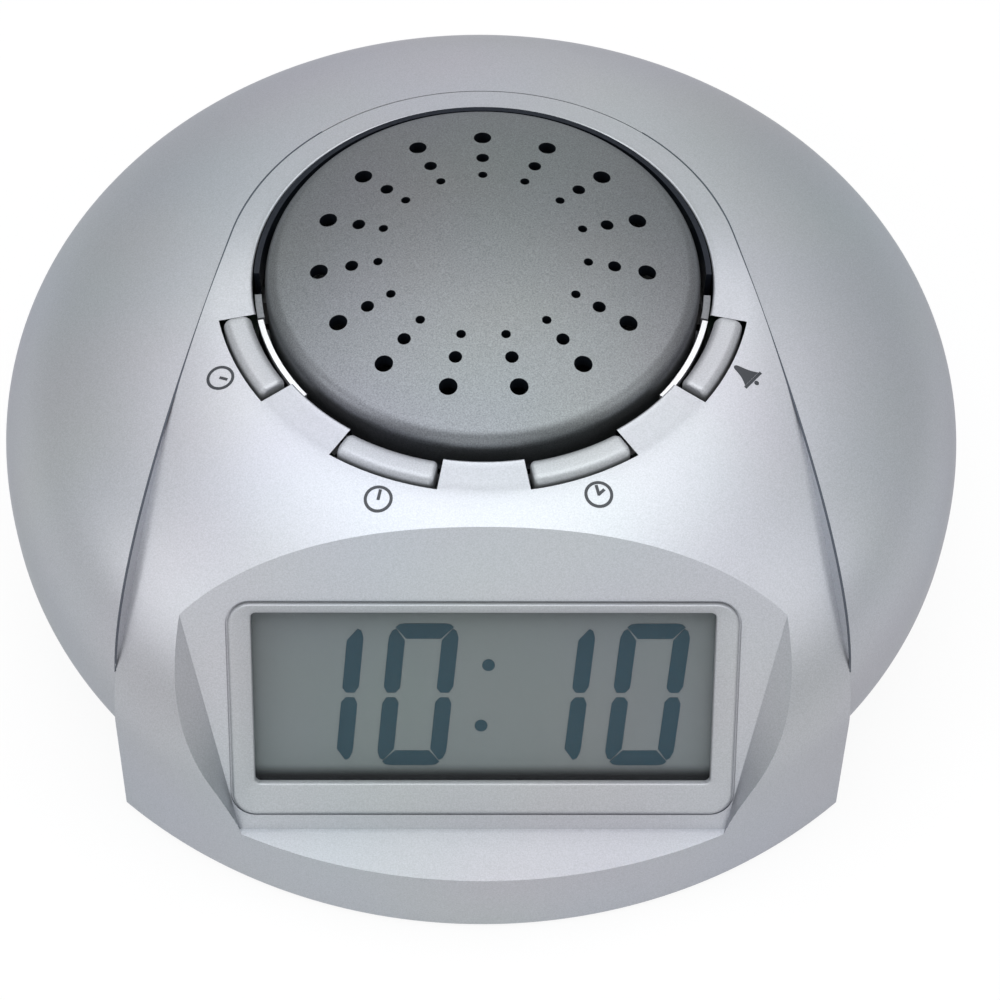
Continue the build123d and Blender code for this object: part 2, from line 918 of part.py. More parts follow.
# Display: bezel, window, glass in its holder, contact strips and board
with BuildPart() as display_bezel:
    plate(
        face_plane.offset(-bezel_sink),
        bezel_width,
        bezel_height,
        bezel_run,
        bezel_sink + bezel_proud,
        bezel_corner,
    )
    outward = Axis(face_plane.origin, face_plane.z_dir)
    chamfer(display_bezel.faces().sort_by(outward)[-1].edges(), bezel_bevel)
    plate(
        face_plane.offset(-bezel_spigot),
        opening_width - 2 * bezel_fit,
        opening_height - 2 * bezel_fit,
        window_run,
        bezel_spigot,
        window_corner,
    )
    plate(
        face_plane.offset(-wall),
        window_width,
        window_height,
        window_run,
        wall + bezel_proud + cut,
        window_corner / 2,
        Mode.SUBTRACT,
    )
save(display_bezel, "display_bezel")

with BuildPart() as display_window:
    plate(
        face_plane.offset(-bezel_spigot - lens_gap - lens_thick),
        opening_width - 2 * bezel_fit,
        opening_height - 2 * bezel_fit,
        window_run,
        lens_thick,
        window_corner,
    )
save(display_window, "display_window")

with BuildPart() as lcd_glass:
    plate(face_plane.offset(-strip_front), glass_width, glass_height, glass_run, glass_thick)
save(lcd_glass, "lcd_glass")

with BuildPart() as lcd_holder:
    plate(
        face_plane.offset(-display_board_front),
        holder_width,
        holder_height,
        glass_run,
        display_board_front - glass_front,
    )
    rods(
        face_plane.offset(-display_board_front),
        ear_spots,
        display_ear_radius,
        display_board_front - glass_front,
    )
    plate(
        face_plane.offset(-display_board_front - cut),
        glass_width + 2 * glass_play,
        glass_height + 2 * glass_play,
        glass_run,
        display_board_front + cut,
        mode=Mode.SUBTRACT,
    )
    rods(
        face_plane.offset(-display_board_front - cut),
        ear_spots,
        display_screw_radius + screw_play,
        display_board_front + cut,
        Mode.SUBTRACT,
    )
save(lcd_holder, "lcd_holder")

with BuildPart() as zebra_strips:
    strip_offset = glass_height / 2 - strip_inset - strip_width / 2
    with BuildSketch(face_plane.offset(-display_board_front)):
        with Locations((0, glass_run - strip_offset), (0, glass_run + strip_offset)):
            Rectangle(strip_length, strip_width)
    extrude(amount=strip_height)
save(zebra_strips, "zebra_strips")

with BuildPart() as display_board:
    plate(
        face_plane.offset(-display_board_back),
        holder_width,
        holder_height,
        glass_run,
        display_board_thick,
    )
    rods(face_plane.offset(-display_board_back), ear_spots, display_ear_radius, display_board_thick)
    rods(
        face_plane.offset(-display_board_back - cut),
        ear_spots,
        display_screw_radius + screw_play,
        display_board_thick + 2 * cut,
        Mode.SUBTRACT,
    )
save(display_board, "display_board")

screw(
    "display_screws",
    ear_spots,
    face_plane.offset(-display_board_back),
    display_screw_head_radius,
    display_screw_head,
    display_screw_radius,
    display_board_back - display_screw_tip,
)

# Base plate: floor, battery box, board posts and the seats of door, feet, screws and switch
main_post_x = main_board_width / 2 - main_post_inset
main_post_y = main_board_depth / 2 - main_post_inset
main_posts = [
    (x, main_board_center_y + y)
    for x in (-main_post_x, main_post_x)
    for y in (-main_post_y, main_post_y)
]
tongue_spots = (box_center_y - door_length * tongue_share, box_center_y + door_length * tongue_share)
pocket_half = door_width / 2 + door_gap
channel_foot = door_top - tongue_thick - door_gap

with BuildPart() as base_plate:
    rods(
        Plane.XY.offset(base_foot),
        [(0, talk_y)],
        hood_radius - wall - base_gap,
        base_thick,
    )
    add(seam_outline(wall + base_gap))
    extrude(amount=body_depth, mode=Mode.INTERSECT)
    with BuildSketch(Plane.XY.offset(base_foot)):
        with Locations((0, dome_y)):
            Circle(dome_radius - dome_foot_tuck - wall - base_gap)
        with Locations((0, base_gap - web_back)):
            Rectangle(2 * body_width, 2 * body_depth, align=(Align.CENTER, Align.MAX), mode=Mode.SUBTRACT)
    extrude(amount=base_thick)
    plate(
        Plane.XY.offset(base_foot),
        box_length + 2 * box_wall,
        box_width + 2 * box_wall,
        box_center_y,
        box_ceiling + box_wall - base_foot,
    )
    rods(Plane.XY.offset(base_foot), main_posts, main_post_radius, main_board_foot - base_foot)
    rods(
        Plane.XY.offset(base_foot),
        main_posts,
        main_pin_radius,
        main_board_foot + board_thick + main_pin - base_foot,
    )
    # Battery room, and the pocket the door lies in with its side channels
    plate(
        Plane.XY.offset(base_foot - cut),
        box_length,
        box_width,
        box_center_y,
        box_ceiling - base_foot + cut,
        mode=Mode.SUBTRACT,
    )
    with BuildSketch(Plane.XY.offset(base_foot - cut)):
        with Locations((0, box_center_y - door_length / 2 - door_gap)):
            Rectangle(
                2 * pocket_half,
                door_length + 2 * door_gap + door_travel,
                align=(Align.CENTER, Align.MIN),
            )
    extrude(amount=door_thick + door_gap + cut, mode=Mode.SUBTRACT)
    with BuildSketch(Plane.XY.offset(channel_foot)):
        with Locations(*[(0, spot + door_travel / 2) for spot in tongue_spots]):
            Rectangle(
                2 * (pocket_half + tongue_reach),
                tongue_length + door_travel + 2 * door_gap,
            )
    extrude(amount=door_top + door_gap - channel_foot, mode=Mode.SUBTRACT)
    with BuildSketch(Plane.XY.offset(base_foot - cut)):
        with Locations(*[(0, spot + door_travel) for spot in tongue_spots]):
            Rectangle(2 * (pocket_half + tongue_reach), tongue_length + 2 * door_gap)
    extrude(amount=channel_foot - base_foot + 2 * cut, mode=Mode.SUBTRACT)
    # Seats of the feet, screws and switch knob
    rods(
        Plane.XY.offset(base_foot - cut),
        foot_places,
        foot_radius + foot_play,
        foot_thick - base_foot + cut,
        Mode.SUBTRACT,
    )
    rods(
        Plane.XY.offset(base_foot - cut),
        boss_places,
        case_screw_head_radius + screw_play,
        case_screw_head + case_screw_sink + cut,
        Mode.SUBTRACT,
    )
    rods(
        Plane.XY.offset(base_foot - cut),
        boss_places,
        case_screw_radius + screw_play,
        base_thick + 2 * cut,
        Mode.SUBTRACT,
    )
    plate(
        Plane.XY.offset(base_foot - cut),
        alarm_knob_length + alarm_travel + 2 * alarm_slot_play,
        alarm_knob_width + 2 * alarm_slot_play,
        main_board_center_y,
        base_thick + 2 * cut,
        mode=Mode.SUBTRACT,
    )
save(base_plate, "base_plate")

with BuildPart() as battery_door:
    plate(Plane.XY.offset(base_foot), door_width, door_length, box_center_y, door_thick)
    with BuildSketch(Plane.XY.offset(door_top - tongue_thick)):
        with Locations(*[(0, spot) for spot in tongue_spots]):
            Rectangle(door_width + 2 * tongue_reach, tongue_length)
    extrude(amount=tongue_thick)
    with BuildSketch(Plane.XY.offset(base_foot)):
        with Locations((0, box_center_y - door_length * grip_share)):
            with GridLocations(grip_pitch, grip_pitch, 1, grip_bars):
                Rectangle(grip_width, grip_bar)
    extrude(amount=grip_cut, mode=Mode.SUBTRACT)
save(battery_door, "battery_door")

with BuildPart() as rubber_feet:
    rods(Plane.XY, foot_places, foot_radius, foot_thick)
save(rubber_feet, "rubber_feet")

screw(
    "case_screws",
    boss_places,
    Plane.XY.offset(base_foot + case_screw_head + case_screw_sink),
    case_screw_head_radius,
    case_screw_head,
    case_screw_radius,
    case_screw_length,
)

# Batteries and their contacts, the second cell turned round
def along_x(x, y):
    # Plane across the box at x for the cell at y, looking towards +X
    return Plane(origin=(x, y, battery_z), x_dir=(0, 1, 0), z_dir=(1, 0, 0))


cell_rows = ((box_center_y - battery_pitch / 2, 1), (box_center_y + battery_pitch / 2, -1))
cell_end = box_length / 2 - contact_thick

with BuildPart() as batteries:
    for row, way in cell_rows:
        rods(along_x(way * cell_end, row), [(0, 0)], battery_nub_radius, -way * (battery_nub + cut))
        rods(
            along_x(way * (cell_end - battery_nub), row),
            [(0, 0)],
            battery_radius,
            -way * battery_length,
        )
save(batteries, "batteries")

with BuildPart() as battery_springs:
    for row, way in cell_rows:
        with BuildSketch(along_x(-way * cell_end, row)):
            Circle(contact_coil)
            Circle(contact_coil - contact_wire, mode=Mode.SUBTRACT)
        with BuildSketch(along_x(-way * (cell_end - contact_room), row)):
            Circle(contact_tip)
            Circle(contact_tip - contact_wire, mode=Mode.SUBTRACT)
        loft()
save(battery_springs, "battery_springs")

with BuildPart() as battery_plates:
    for side in (-1, 1):
        with BuildSketch(along_x(side * box_length / 2, box_center_y)):
            with Locations((-battery_pitch / 2, 0), (battery_pitch / 2, 0)):
                Rectangle(contact_width, contact_width)
        extrude(amount=-side * contact_thick)
save(battery_plates, "battery_plates")

# Main board with voice chip and crystal
with BuildPart() as main_board:
    plate(
        Plane.XY.offset(main_board_foot),
        main_board_width,
        main_board_depth,
        main_board_center_y,
        board_thick,
    )
    rods(
        Plane.XY.offset(main_board_foot - cut),
        main_posts,
        main_pin_radius + screw_play,
        board_thick + 2 * cut,
        Mode.SUBTRACT,
    )
save(main_board, "main_board")

with BuildPart() as voice_chip:
    chip_sphere = (chip_radius**2 + chip_height**2) / (2 * chip_height)
    with BuildSketch(Plane.XZ.offset(-main_board_center_y)):
        with Locations((0, main_board_foot + board_thick + chip_height - chip_sphere)):
            Circle(chip_sphere)
        with Locations((0, main_board_foot + board_thick)):
            Rectangle(chip_radius, chip_height, align=(Align.MIN, Align.MIN), mode=Mode.INTERSECT)
    revolve(axis=Axis((0, main_board_center_y, 0), (0, 0, 1)))
voice_chip.part.position = (chip_offset, 0, 0)
save(voice_chip, "voice_chip")

with BuildPart() as crystal:
    crystal_plane = Plane(
        origin=(-crystal_offset, main_board_center_y, main_board_foot + board_thick + crystal_radius),
        x_dir=(0, 1, 0),
        z_dir=(1, 0, 0),
    )
    rods(crystal_plane, [(0, 0)], crystal_radius, crystal_length)
    chamfer(crystal.edges(), crystal_edge)
save(crystal, "crystal")

# Sliding alarm switch on the underside
knob_x = -alarm_travel / 2
with BuildPart() as alarm_switch_body:
    plate(
        Plane.XY.offset(main_board_foot - alarm_body_height),
        alarm_body_length,
        alarm_body_width,
        main_board_center_y,
        alarm_body_height,
    )
save(alarm_switch_body, "alarm_switch_body")

with BuildPart() as alarm_switch_knob:
    with BuildSketch(Plane.XY.offset(base_foot + alarm_knob_foot)):
        with Locations((knob_x, main_board_center_y)):
            Rectangle(alarm_knob_length, alarm_knob_width)
    extrude(amount=base_thick - alarm_knob_foot + alarm_knob_gap)
    with BuildSketch(Plane.XY.offset(base_top + alarm_knob_gap)):
        with Locations((knob_x, main_board_center_y)):
            Rectangle(
                alarm_knob_length + 2 * alarm_knob_flange,
                alarm_knob_width + 2 * alarm_knob_flange,
            )
    extrude(amount=alarm_flange_thick)
save(alarm_switch_knob, "alarm_switch_knob")
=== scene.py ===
# Talking clock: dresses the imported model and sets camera, light and floor.
# The front of the clock points to -Y and the table is at z = 0.
# Sizes are in millimetres. The lamps and the shading of the floor are in metres.
import json
from math import asin, atan2, cos, pi, radians, sin, sqrt

import bmesh
import bpy
import numpy as np
from mathutils import Matrix, Vector


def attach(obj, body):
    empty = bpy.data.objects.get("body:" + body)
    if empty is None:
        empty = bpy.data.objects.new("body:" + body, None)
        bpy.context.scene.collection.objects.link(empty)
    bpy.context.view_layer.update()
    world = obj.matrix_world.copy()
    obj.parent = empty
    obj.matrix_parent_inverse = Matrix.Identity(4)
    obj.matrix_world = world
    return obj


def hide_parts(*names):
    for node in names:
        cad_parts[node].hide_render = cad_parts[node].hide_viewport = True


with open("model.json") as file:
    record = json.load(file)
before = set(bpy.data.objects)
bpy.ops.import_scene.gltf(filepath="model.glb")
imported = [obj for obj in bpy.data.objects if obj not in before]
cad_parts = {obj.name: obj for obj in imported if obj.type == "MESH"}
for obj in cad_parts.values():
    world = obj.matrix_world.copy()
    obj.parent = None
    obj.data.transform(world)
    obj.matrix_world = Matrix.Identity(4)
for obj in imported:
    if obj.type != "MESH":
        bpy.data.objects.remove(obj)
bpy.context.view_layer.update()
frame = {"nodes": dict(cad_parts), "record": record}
mm = 0.001
weldDistance = 1e-7
print("frame loaded:", len(frame["nodes"]), "nodes")


# meshes

def newPiece(name, points, faces, smooth=True):
    # points in the row frame, faces as lists of point numbers
    mesh = bpy.data.meshes.new(name)
    mesh.from_pydata((np.asarray(points, float) * mm).tolist(), [], faces)
    mesh.validate()
    mesh.polygons.foreach_set("use_smooth", np.full(len(mesh.polygons), smooth))
    piece = bpy.data.objects.new(name, mesh)
    bpy.context.scene.collection.objects.link(piece)
    return piece


def gridFaces(rows, cols, closeRows=False, closeCols=False):
    # quads between neighbouring rows and columns of a grid stored row by row
    rowSteps = np.arange(rows if closeRows else rows - 1)
    colSteps = np.arange(cols if closeCols else cols - 1)
    i, j = np.meshgrid(rowSteps, colSteps, indexing="ij")
    nextI, nextJ = (i + 1) % rows, (j + 1) % cols
    quads = [i * cols + j, nextI * cols + j, nextI * cols + nextJ, i * cols + nextJ]
    return np.stack(quads, -1).reshape(-1, 4).tolist()


def blockFaces(n):
    # sides, underside and top of a block between two outlines of n points each
    sides = [[k, (k + 1) % n, n + (k + 1) % n, n + k] for k in range(n)]
    return sides + [list(range(n))[::-1], list(range(n, 2 * n))]


def prism(outline, low, high):
    # upright block over a plan outline given counter-clockwise
    outline = np.asarray(outline, float)
    n = len(outline)
    foot = np.column_stack([outline, np.full(n, low)])
    top = np.column_stack([outline, np.full(n, high)])
    return np.vstack([foot, top]), blockFaces(n)


def joinParts(parts):
    # several pairs of points and faces as one
    points, faces, start = [], [], 0
    for partPoints, partFaces in parts:
        points.append(np.asarray(partPoints, float))
        faces += [[v + start for v in face] for face in partFaces]
        start += len(partPoints)
    return np.vstack(points), faces


def fixNormals(piece):
    # joins points that fall together and turns all faces of a closed mesh outwards
    work = bmesh.new()
    work.from_mesh(piece.data)
    bmesh.ops.remove_doubles(work, verts=work.verts, dist=weldDistance)
    bmesh.ops.recalc_face_normals(work, faces=work.faces)
    work.to_mesh(piece.data)
    work.free()


def closedPiece(name, parts):
    # flat-shaded closed mesh, for cutting tools and for print
    piece = newPiece(name, *joinParts(parts), smooth=False)
    fixNormals(piece)
    return piece


def smoothByAngle(piece, angle):
    # smooth shading that breaks at edges sharper than angle
    mesh = piece.data
    mesh.polygons.foreach_set("use_smooth", np.ones(len(mesh.polygons), bool))
    mesh.set_sharp_from_angle(angle=radians(angle))


def applyModifiers(piece):
    view = bpy.context.evaluated_depsgraph_get()
    mesh = bpy.data.meshes.new_from_object(piece.evaluated_get(view))
    old = piece.data
    piece.modifiers.clear()
    piece.data = mesh
    bpy.data.meshes.remove(old)


def combine(piece, tool, operation):
    # solid cut, overlap or union of piece with tool, which is used up
    step = piece.modifiers.new("combine", "BOOLEAN")
    step.operation, step.solver, step.object = operation, "EXACT", tool
    applyModifiers(piece)
    mesh = tool.data
    bpy.data.objects.remove(tool)
    bpy.data.meshes.remove(mesh)


# case sizes as the solids have them, apart from the heights of ring, brow and crown
case = {
    "domeRadius": 55.0,
    "domeY": 0.9,
    "equator": 13.9,
    "rise": 25.5,
    "power": 2.85,
    "tuck": 10.0,
    "foot": 0.5,
    "wall": 2.0,
    "talkY": 4.7,
    "hoodRadius": 60.6,
    "wallTop": (59.3, 15.5),
    "shoulder": (58.02, 30.2),
    "brow": (34.3, 38.6),
    "ring": (28.9, 38.15),
    "crown": (12.0, 39.8),
    "hole": 25.5,
    "holeEdge": 0.25,
    "splay": radians(12.8),
    "sideReach": 70.0,
    "seamGap": 0.12,
    "webBack": 25.5,
    "webFront": 75.0,
    "webSide": 90.0,
    "webTop": 22.0,
}


def polar(radius, angle):
    # plan point at an angle in degrees from the front, towards +X, round the talk axis
    a = np.radians(angle)
    return np.stack([radius * np.sin(a), case["talkY"] - radius * np.cos(a)], -1)


def onRing(radius, turn):
    # plan points on a circle round the talk axis, turned from +X in radians
    return np.column_stack([radius * np.cos(turn), case["talkY"] + radius * np.sin(turn)])


def spinProfile(profile, count):
    # closed profile of radius and height turned round the talk axis
    profile = np.asarray(profile, float)
    turn = np.linspace(0, 2 * pi, count, endpoint=False)[:, None]
    x = profile[None, :, 0] * np.cos(turn)
    y = case["talkY"] + profile[None, :, 0] * np.sin(turn)
    z = np.broadcast_to(profile[None, :, 1], x.shape)
    return np.stack([x, y, z], -1).reshape(-1, 3), gridFaces(count, len(profile), True, True)


def sector(inner, outer, angle, halfArc, low, high):
    # block over a ring sector round the talk axis
    turn = np.linspace(angle - halfArc, angle + halfArc, 24)
    outline = np.vstack([polar(outer, turn), polar(inner, turn[::-1])])
    return prism(outline, low, high)


def bezier(points, count):
    # cubic curve through its end points, drawn by two handles
    t = np.linspace(0, 1, count)[:, None]
    a, b, c, d = (np.asarray(p, float) for p in points)
    return a * (1 - t) ** 3 + 3 * b * t * (1 - t) ** 2 + 3 * c * t**2 * (1 - t) + d * t**3


def hoodProfile(inset, innerRadius):
    # radius and height of the front's skin from the talk hole out and down to the table edge
    drop = inset * case["wallTop"][0] / case["hoodRadius"]
    ring = np.array([case["ring"][0], case["ring"][1] - drop])
    slope = (case["crown"][1] - case["ring"][1]) / (case["crown"][0] - case["ring"][0])
    start = [innerRadius, ring[1] + slope * (innerRadius - ring[0])]
    handles = [
        ring,
        (case["brow"][0] - inset / 2, case["brow"][1] - drop),
        (case["shoulder"][0] - inset, case["shoulder"][1] - drop / 2),
        (case["wallTop"][0] - inset, case["wallTop"][1]),
    ]
    curve = bezier(handles, 56)
    wall = np.linspace(curve[-1], [case["hoodRadius"] - inset, case["foot"]], 10)[1:]
    crown = np.linspace(start, ring, 8)[:-1]
    return np.vstack([crown, curve, wall])


def hoodHeight(radius):
    # height of the front's skin at a distance from the talk axis
    profile = hoodProfile(inset=0, innerRadius=10.0)
    return np.interp(radius, profile[:, 0], profile[:, 1])


def domeHeight(x, y):
    # height of the dome over a plan point: a superellipse turned round the dome's middle
    share = np.minimum(np.hypot(x, y - case["domeY"]) / case["domeRadius"], 1)
    return case["equator"] + case["rise"] * (1 - share ** case["power"]) ** (1 / case["power"])


def keyhole(inset):
    # plan outline: ring round the talk hole with two tangent sides that splay to the front
    radius = case["ring"][0] - inset
    side = radius * np.array([cos(case["splay"]), sin(case["splay"])])
    far = side + case["sideReach"] * np.array([sin(case["splay"]), -cos(case["splay"])])
    ring = onRing(radius, np.linspace(case["splay"], pi - case["splay"], 161))
    frontY = case["talkY"] + far[1]
    return np.vstack([[far[0], frontY], ring, [-far[0], frontY]])


# display plane: v runs up the plane, n out of it; the outlines give width, height, corner
# radius and the middle's v
face = {
    "tilt": radians(55.5),
    "front": 54.2,
    "window": (48.8, 19.9, 0.6, 25.35),
    "opening": (50.6, 21.7, 0.6, 25.35),
    "bezel": (53.6, 24.5, 2.4, 24.15),
    "cutReach": 6.0,
    "proud": 0.5,
    "sink": 0.3,
    "groove": 0.25,
    "spigot": 0.8,
}

# recess in the front: a floor on the display plane, bowed flanks and a sloping ledge
recess = {
    "cornerV": 35.5,
    "cornerHalf": 31.9,
    "footHalf": 26.2,
    "ledge": 8.7,
    "ledgeRise": 0.107,
    "flankN": 3.4,
    "flankFootHalf": 25.0,
    "flankWaist": (31.5, 21.5),
    "flankTop": (34.8, 34.0),
    "topV": 66.0,
    "outReach": 60.0,
}


def onFace(x, v, n):
    # point on the display plane: across, up the slope, out of the slope
    x, v, n = np.broadcast_arrays(np.asarray(x, float), v, n)
    y = -face["front"] + v * cos(face["tilt"]) - n * sin(face["tilt"])
    z = case["foot"] + v * sin(face["tilt"]) + n * cos(face["tilt"])
    return np.stack([x, y, z], -1)


def roundedOutline(width, height, corner, middle):
    # rectangle with round corners, counter-clockwise, its middle lifted by v = middle
    turn = np.linspace(0, pi / 2, 12)
    parts = []
    for k, (sx, sy) in enumerate(((1, 1), (-1, 1), (-1, -1), (1, -1))):
        a = turn + k * pi / 2
        parts.append(np.column_stack([
            sx * (width / 2 - corner) + corner * np.cos(a),
            middle + sy * (height / 2 - corner) + corner * np.sin(a),
        ]))
    return np.vstack(parts)


def facePrism(outline, low, high):
    # block over an outline on the display plane, between two heights out of it
    outline = np.asarray(outline, float)
    ends = [onFace(outline[:, 0], outline[:, 1], n) for n in (low, high)]
    return np.vstack(ends), blockFaces(len(outline))


def arcThrough(first, second, third, count):
    # points from first to third on the circle through all three
    (ax, ay), (bx, by), (cx, cy) = first, second, third
    a, b, c = ax**2 + ay**2, bx**2 + by**2, cx**2 + cy**2
    d = 2 * (ax * (by - cy) + bx * (cy - ay) + cx * (ay - by))
    middleX = (a * (by - cy) + b * (cy - ay) + c * (ay - by)) / d
    middleY = (a * (cx - bx) + b * (ax - cx) + c * (bx - ax)) / d
    radius = np.hypot(ax - middleX, ay - middleY)
    start, end = atan2(ay - middleY, ax - middleX), atan2(cy - middleY, cx - middleX)
    turn = start + (end - start) * np.linspace(0, 1, count)
    return np.column_stack([middleX + radius * np.cos(turn), middleY + radius * np.sin(turn)])


def recessOutline(grow, n, bowed):
    # outline of the recess at height n over the display plane, with as many points in both kinds
    rise, run = sin(face["tilt"]), cos(face["tilt"])
    footV = (recess["ledge"] - case["foot"]) / rise
    ahead = recess["ledgeRise"] * (footV * run + n * rise)
    up = recess["ledge"] - case["foot"] - grow - n * run + ahead
    ledgeV = up / (rise + recess["ledgeRise"] * run)
    widen = recess["cornerHalf"] - recess["footHalf"]
    share = widen * (recess["topV"] - footV) / (recess["cornerV"] - footV)
    top = np.array([recess["footHalf"] + share + grow, recess["topV"]])
    sideCount = 25
    if bowed:
        foot = (recess["flankFootHalf"] + grow, ledgeV)
        waist = (recess["flankWaist"][0] + grow, recess["flankWaist"][1])
        corner = (recess["flankTop"][0] + grow, recess["flankTop"][1])
        side = arcThrough(foot, waist, corner, sideCount)
    else:
        foot = np.array([recess["footHalf"] + grow, ledgeV])
        corner = np.array([recess["cornerHalf"] + grow, recess["cornerV"]])
        side = foot + (corner - foot) * np.linspace(0, 1, sideCount)[:, None]
    upper = side[-1] + (top - side[-1]) * np.linspace(0, 1, 9)[1:, None]
    right = np.vstack([side, upper])
    return np.vstack([right, right[::-1] * [-1, 1]])


def recessTool(grow):
    # floor outline on the plane, bowed outline over it, and that one pushed out to the front
    floor = recessOutline(grow, -grow, False)
    rim = recessOutline(grow, recess["flankN"], True)
    low = onFace(floor[:, 0], floor[:, 1], -grow)
    mid = onFace(rim[:, 0], rim[:, 1], recess["flankN"])
    out = mid + recess["outReach"] * np.array([0, -1, recess["ledgeRise"]])
    n = len(low)
    ends = [list(range(n)), list(range(2 * n, 3 * n))[::-1]]
    return np.vstack([low, mid, out]), gridFaces(3, n, closeCols=True) + ends


# rear cover: dome skin from the seam outwards, over the equator and in to the table edge

def domeProfile():
    # superellipse over the equator, quarter curve tucked in under it, with its running length
    count = 400
    a = np.linspace(pi / 2, 0, count)
    upper = np.column_stack([
        case["domeRadius"] * np.cos(a) ** (2 / case["power"]),
        case["equator"] + case["rise"] * np.sin(a) ** (2 / case["power"]),
    ])
    t = np.linspace(0, 1, count // 3)[1:, None]
    start = np.array([case["domeRadius"], case["equator"]])
    handle = np.array([case["domeRadius"], case["foot"] + (case["equator"] - case["foot"]) / 3])
    end = np.array([case["domeRadius"] - case["tuck"], case["foot"]])
    lower = start * (1 - t) ** 2 + 2 * handle * t * (1 - t) + end * t**2
    line = np.vstack([upper, lower])
    length = np.concatenate([[0], np.cumsum(np.hypot(*np.diff(line, axis=0).T))])
    return line, length, count - 1


def makeRearShell():
    # each row runs along one bearing from the seam to where the skin ends or meets the seam again
    line, length, belt = domeProfile()
    ahead = case["talkY"] - case["domeY"]
    normal = np.array([cos(case["splay"]), sin(case["splay"])])
    radius = case["ring"][0]

    def seamRadius(bearing):
        # distance from the dome's middle to the keyhole, on its ring or on its straight sides
        s, c = np.abs(np.sin(bearing)), np.cos(bearing)
        ring = ahead * c + np.sqrt(np.maximum((ahead * c) ** 2 - ahead**2 + radius**2, 0))
        straight = (radius + ahead * normal[1]) / np.maximum(normal[0] * s + normal[1] * c, 1e-6)
        return np.where(ring * c - ahead >= radius * normal[1], ring, straight)

    # the last bearing at which the seam is inside the dome; rows stand closer towards it
    margin, openShare = 0.02, 0.85
    trial = np.linspace(pi / 2, pi, 4000)
    last = trial[np.argmax(seamRadius(trial) >= case["domeRadius"] - margin) - 1]
    dense = last * openShare
    half = np.concatenate([np.linspace(0, dense, 120), np.linspace(dense, last, 90)[1:]])
    bearing = np.concatenate([-half[::-1], half[1:]])
    seam = seamRadius(bearing)
    top = np.interp(seam, line[: belt + 1, 0], length[: belt + 1])
    underRadius, underLength = line[belt:, 0][::-1], length[belt:][::-1]
    end = np.interp(seam, underRadius, underLength, left=length[-1])
    steps = 72
    s = top[:, None] + (end - top)[:, None] * np.linspace(0, 1, steps)[None, :]
    r, z = np.interp(s, length, line[:, 0]), np.interp(s, length, line[:, 1])
    x, y = r * np.sin(bearing)[:, None], case["domeY"] + r * np.cos(bearing)[:, None]
    points = np.stack([x, y, z], -1).reshape(-1, 3)
    shell = newPiece("rearShell", points, gridFaces(len(bearing), steps))
    thick = shell.modifiers.new("wall", "SOLIDIFY")
    thick.thickness, thick.offset, thick.use_even_offset = case["wall"] * mm, -1, False
    applyModifiers(shell)
    fixNormals(shell)
    smoothByAngle(shell, angle=40)
    return shell


# front cover

# the ring round the button eases into the dome over a turn behind the side keys; only the skin
# above a height and within a radius moves
ease = {
    "from": 80.0,
    "over": 35.0,
    "above": 36.0,
    "within": 31.0,
}


def easeRing(points):
    # level between the keys; behind them the ring takes the dome's height
    x, y, z = points.T
    radius = np.hypot(x, y - case["talkY"])
    turn = np.degrees(np.arctan2(np.abs(x), case["talkY"] - y))
    share = np.clip((turn - ease["from"]) / ease["over"], 0, 1)
    share = share * share * (3 - 2 * share)
    level = np.where(radius < case["ring"][0], case["ring"][1] - hoodHeight(radius), 0)
    change = level * (1 - share) + (domeHeight(x, y) - hoodHeight(radius)) * share
    moves = (z > ease["above"]) & (radius < ease["within"])
    return np.column_stack([x, y, z + change * moves])


def makeHollow():
    # room under the front's skin, less the webs beside the dome and the wall round the recess
    inner, below, webFoot = case["hole"] - 6, -5, -8
    room = hoodProfile(case["wall"], inner)
    room = np.vstack([[inner, below], room, [case["hoodRadius"] - case["wall"], below]])
    hollow = closedPiece("hollow", [spinProfile(room[::-1], 180)])
    far, near = keyhole(case["wall"])[:2]
    y = np.array([-case["webBack"], -case["webFront"]])
    x = near[0] + (far[0] - near[0]) * (y - near[1]) / (far[1] - near[1])
    webs = []
    for side in (1, -1):
        out = side * case["webSide"]
        outline = [[side * x[1], y[1]], [out, y[1]], [out, y[0]], [side * x[0], y[0]]]
        webs.append(prism(outline, webFoot, case["webTop"]))
    combine(hollow, closedPiece("webs", webs), "DIFFERENCE")
    combine(hollow, closedPiece("grownRecess", [recessTool(case["wall"])]), "DIFFERENCE")
    return hollow


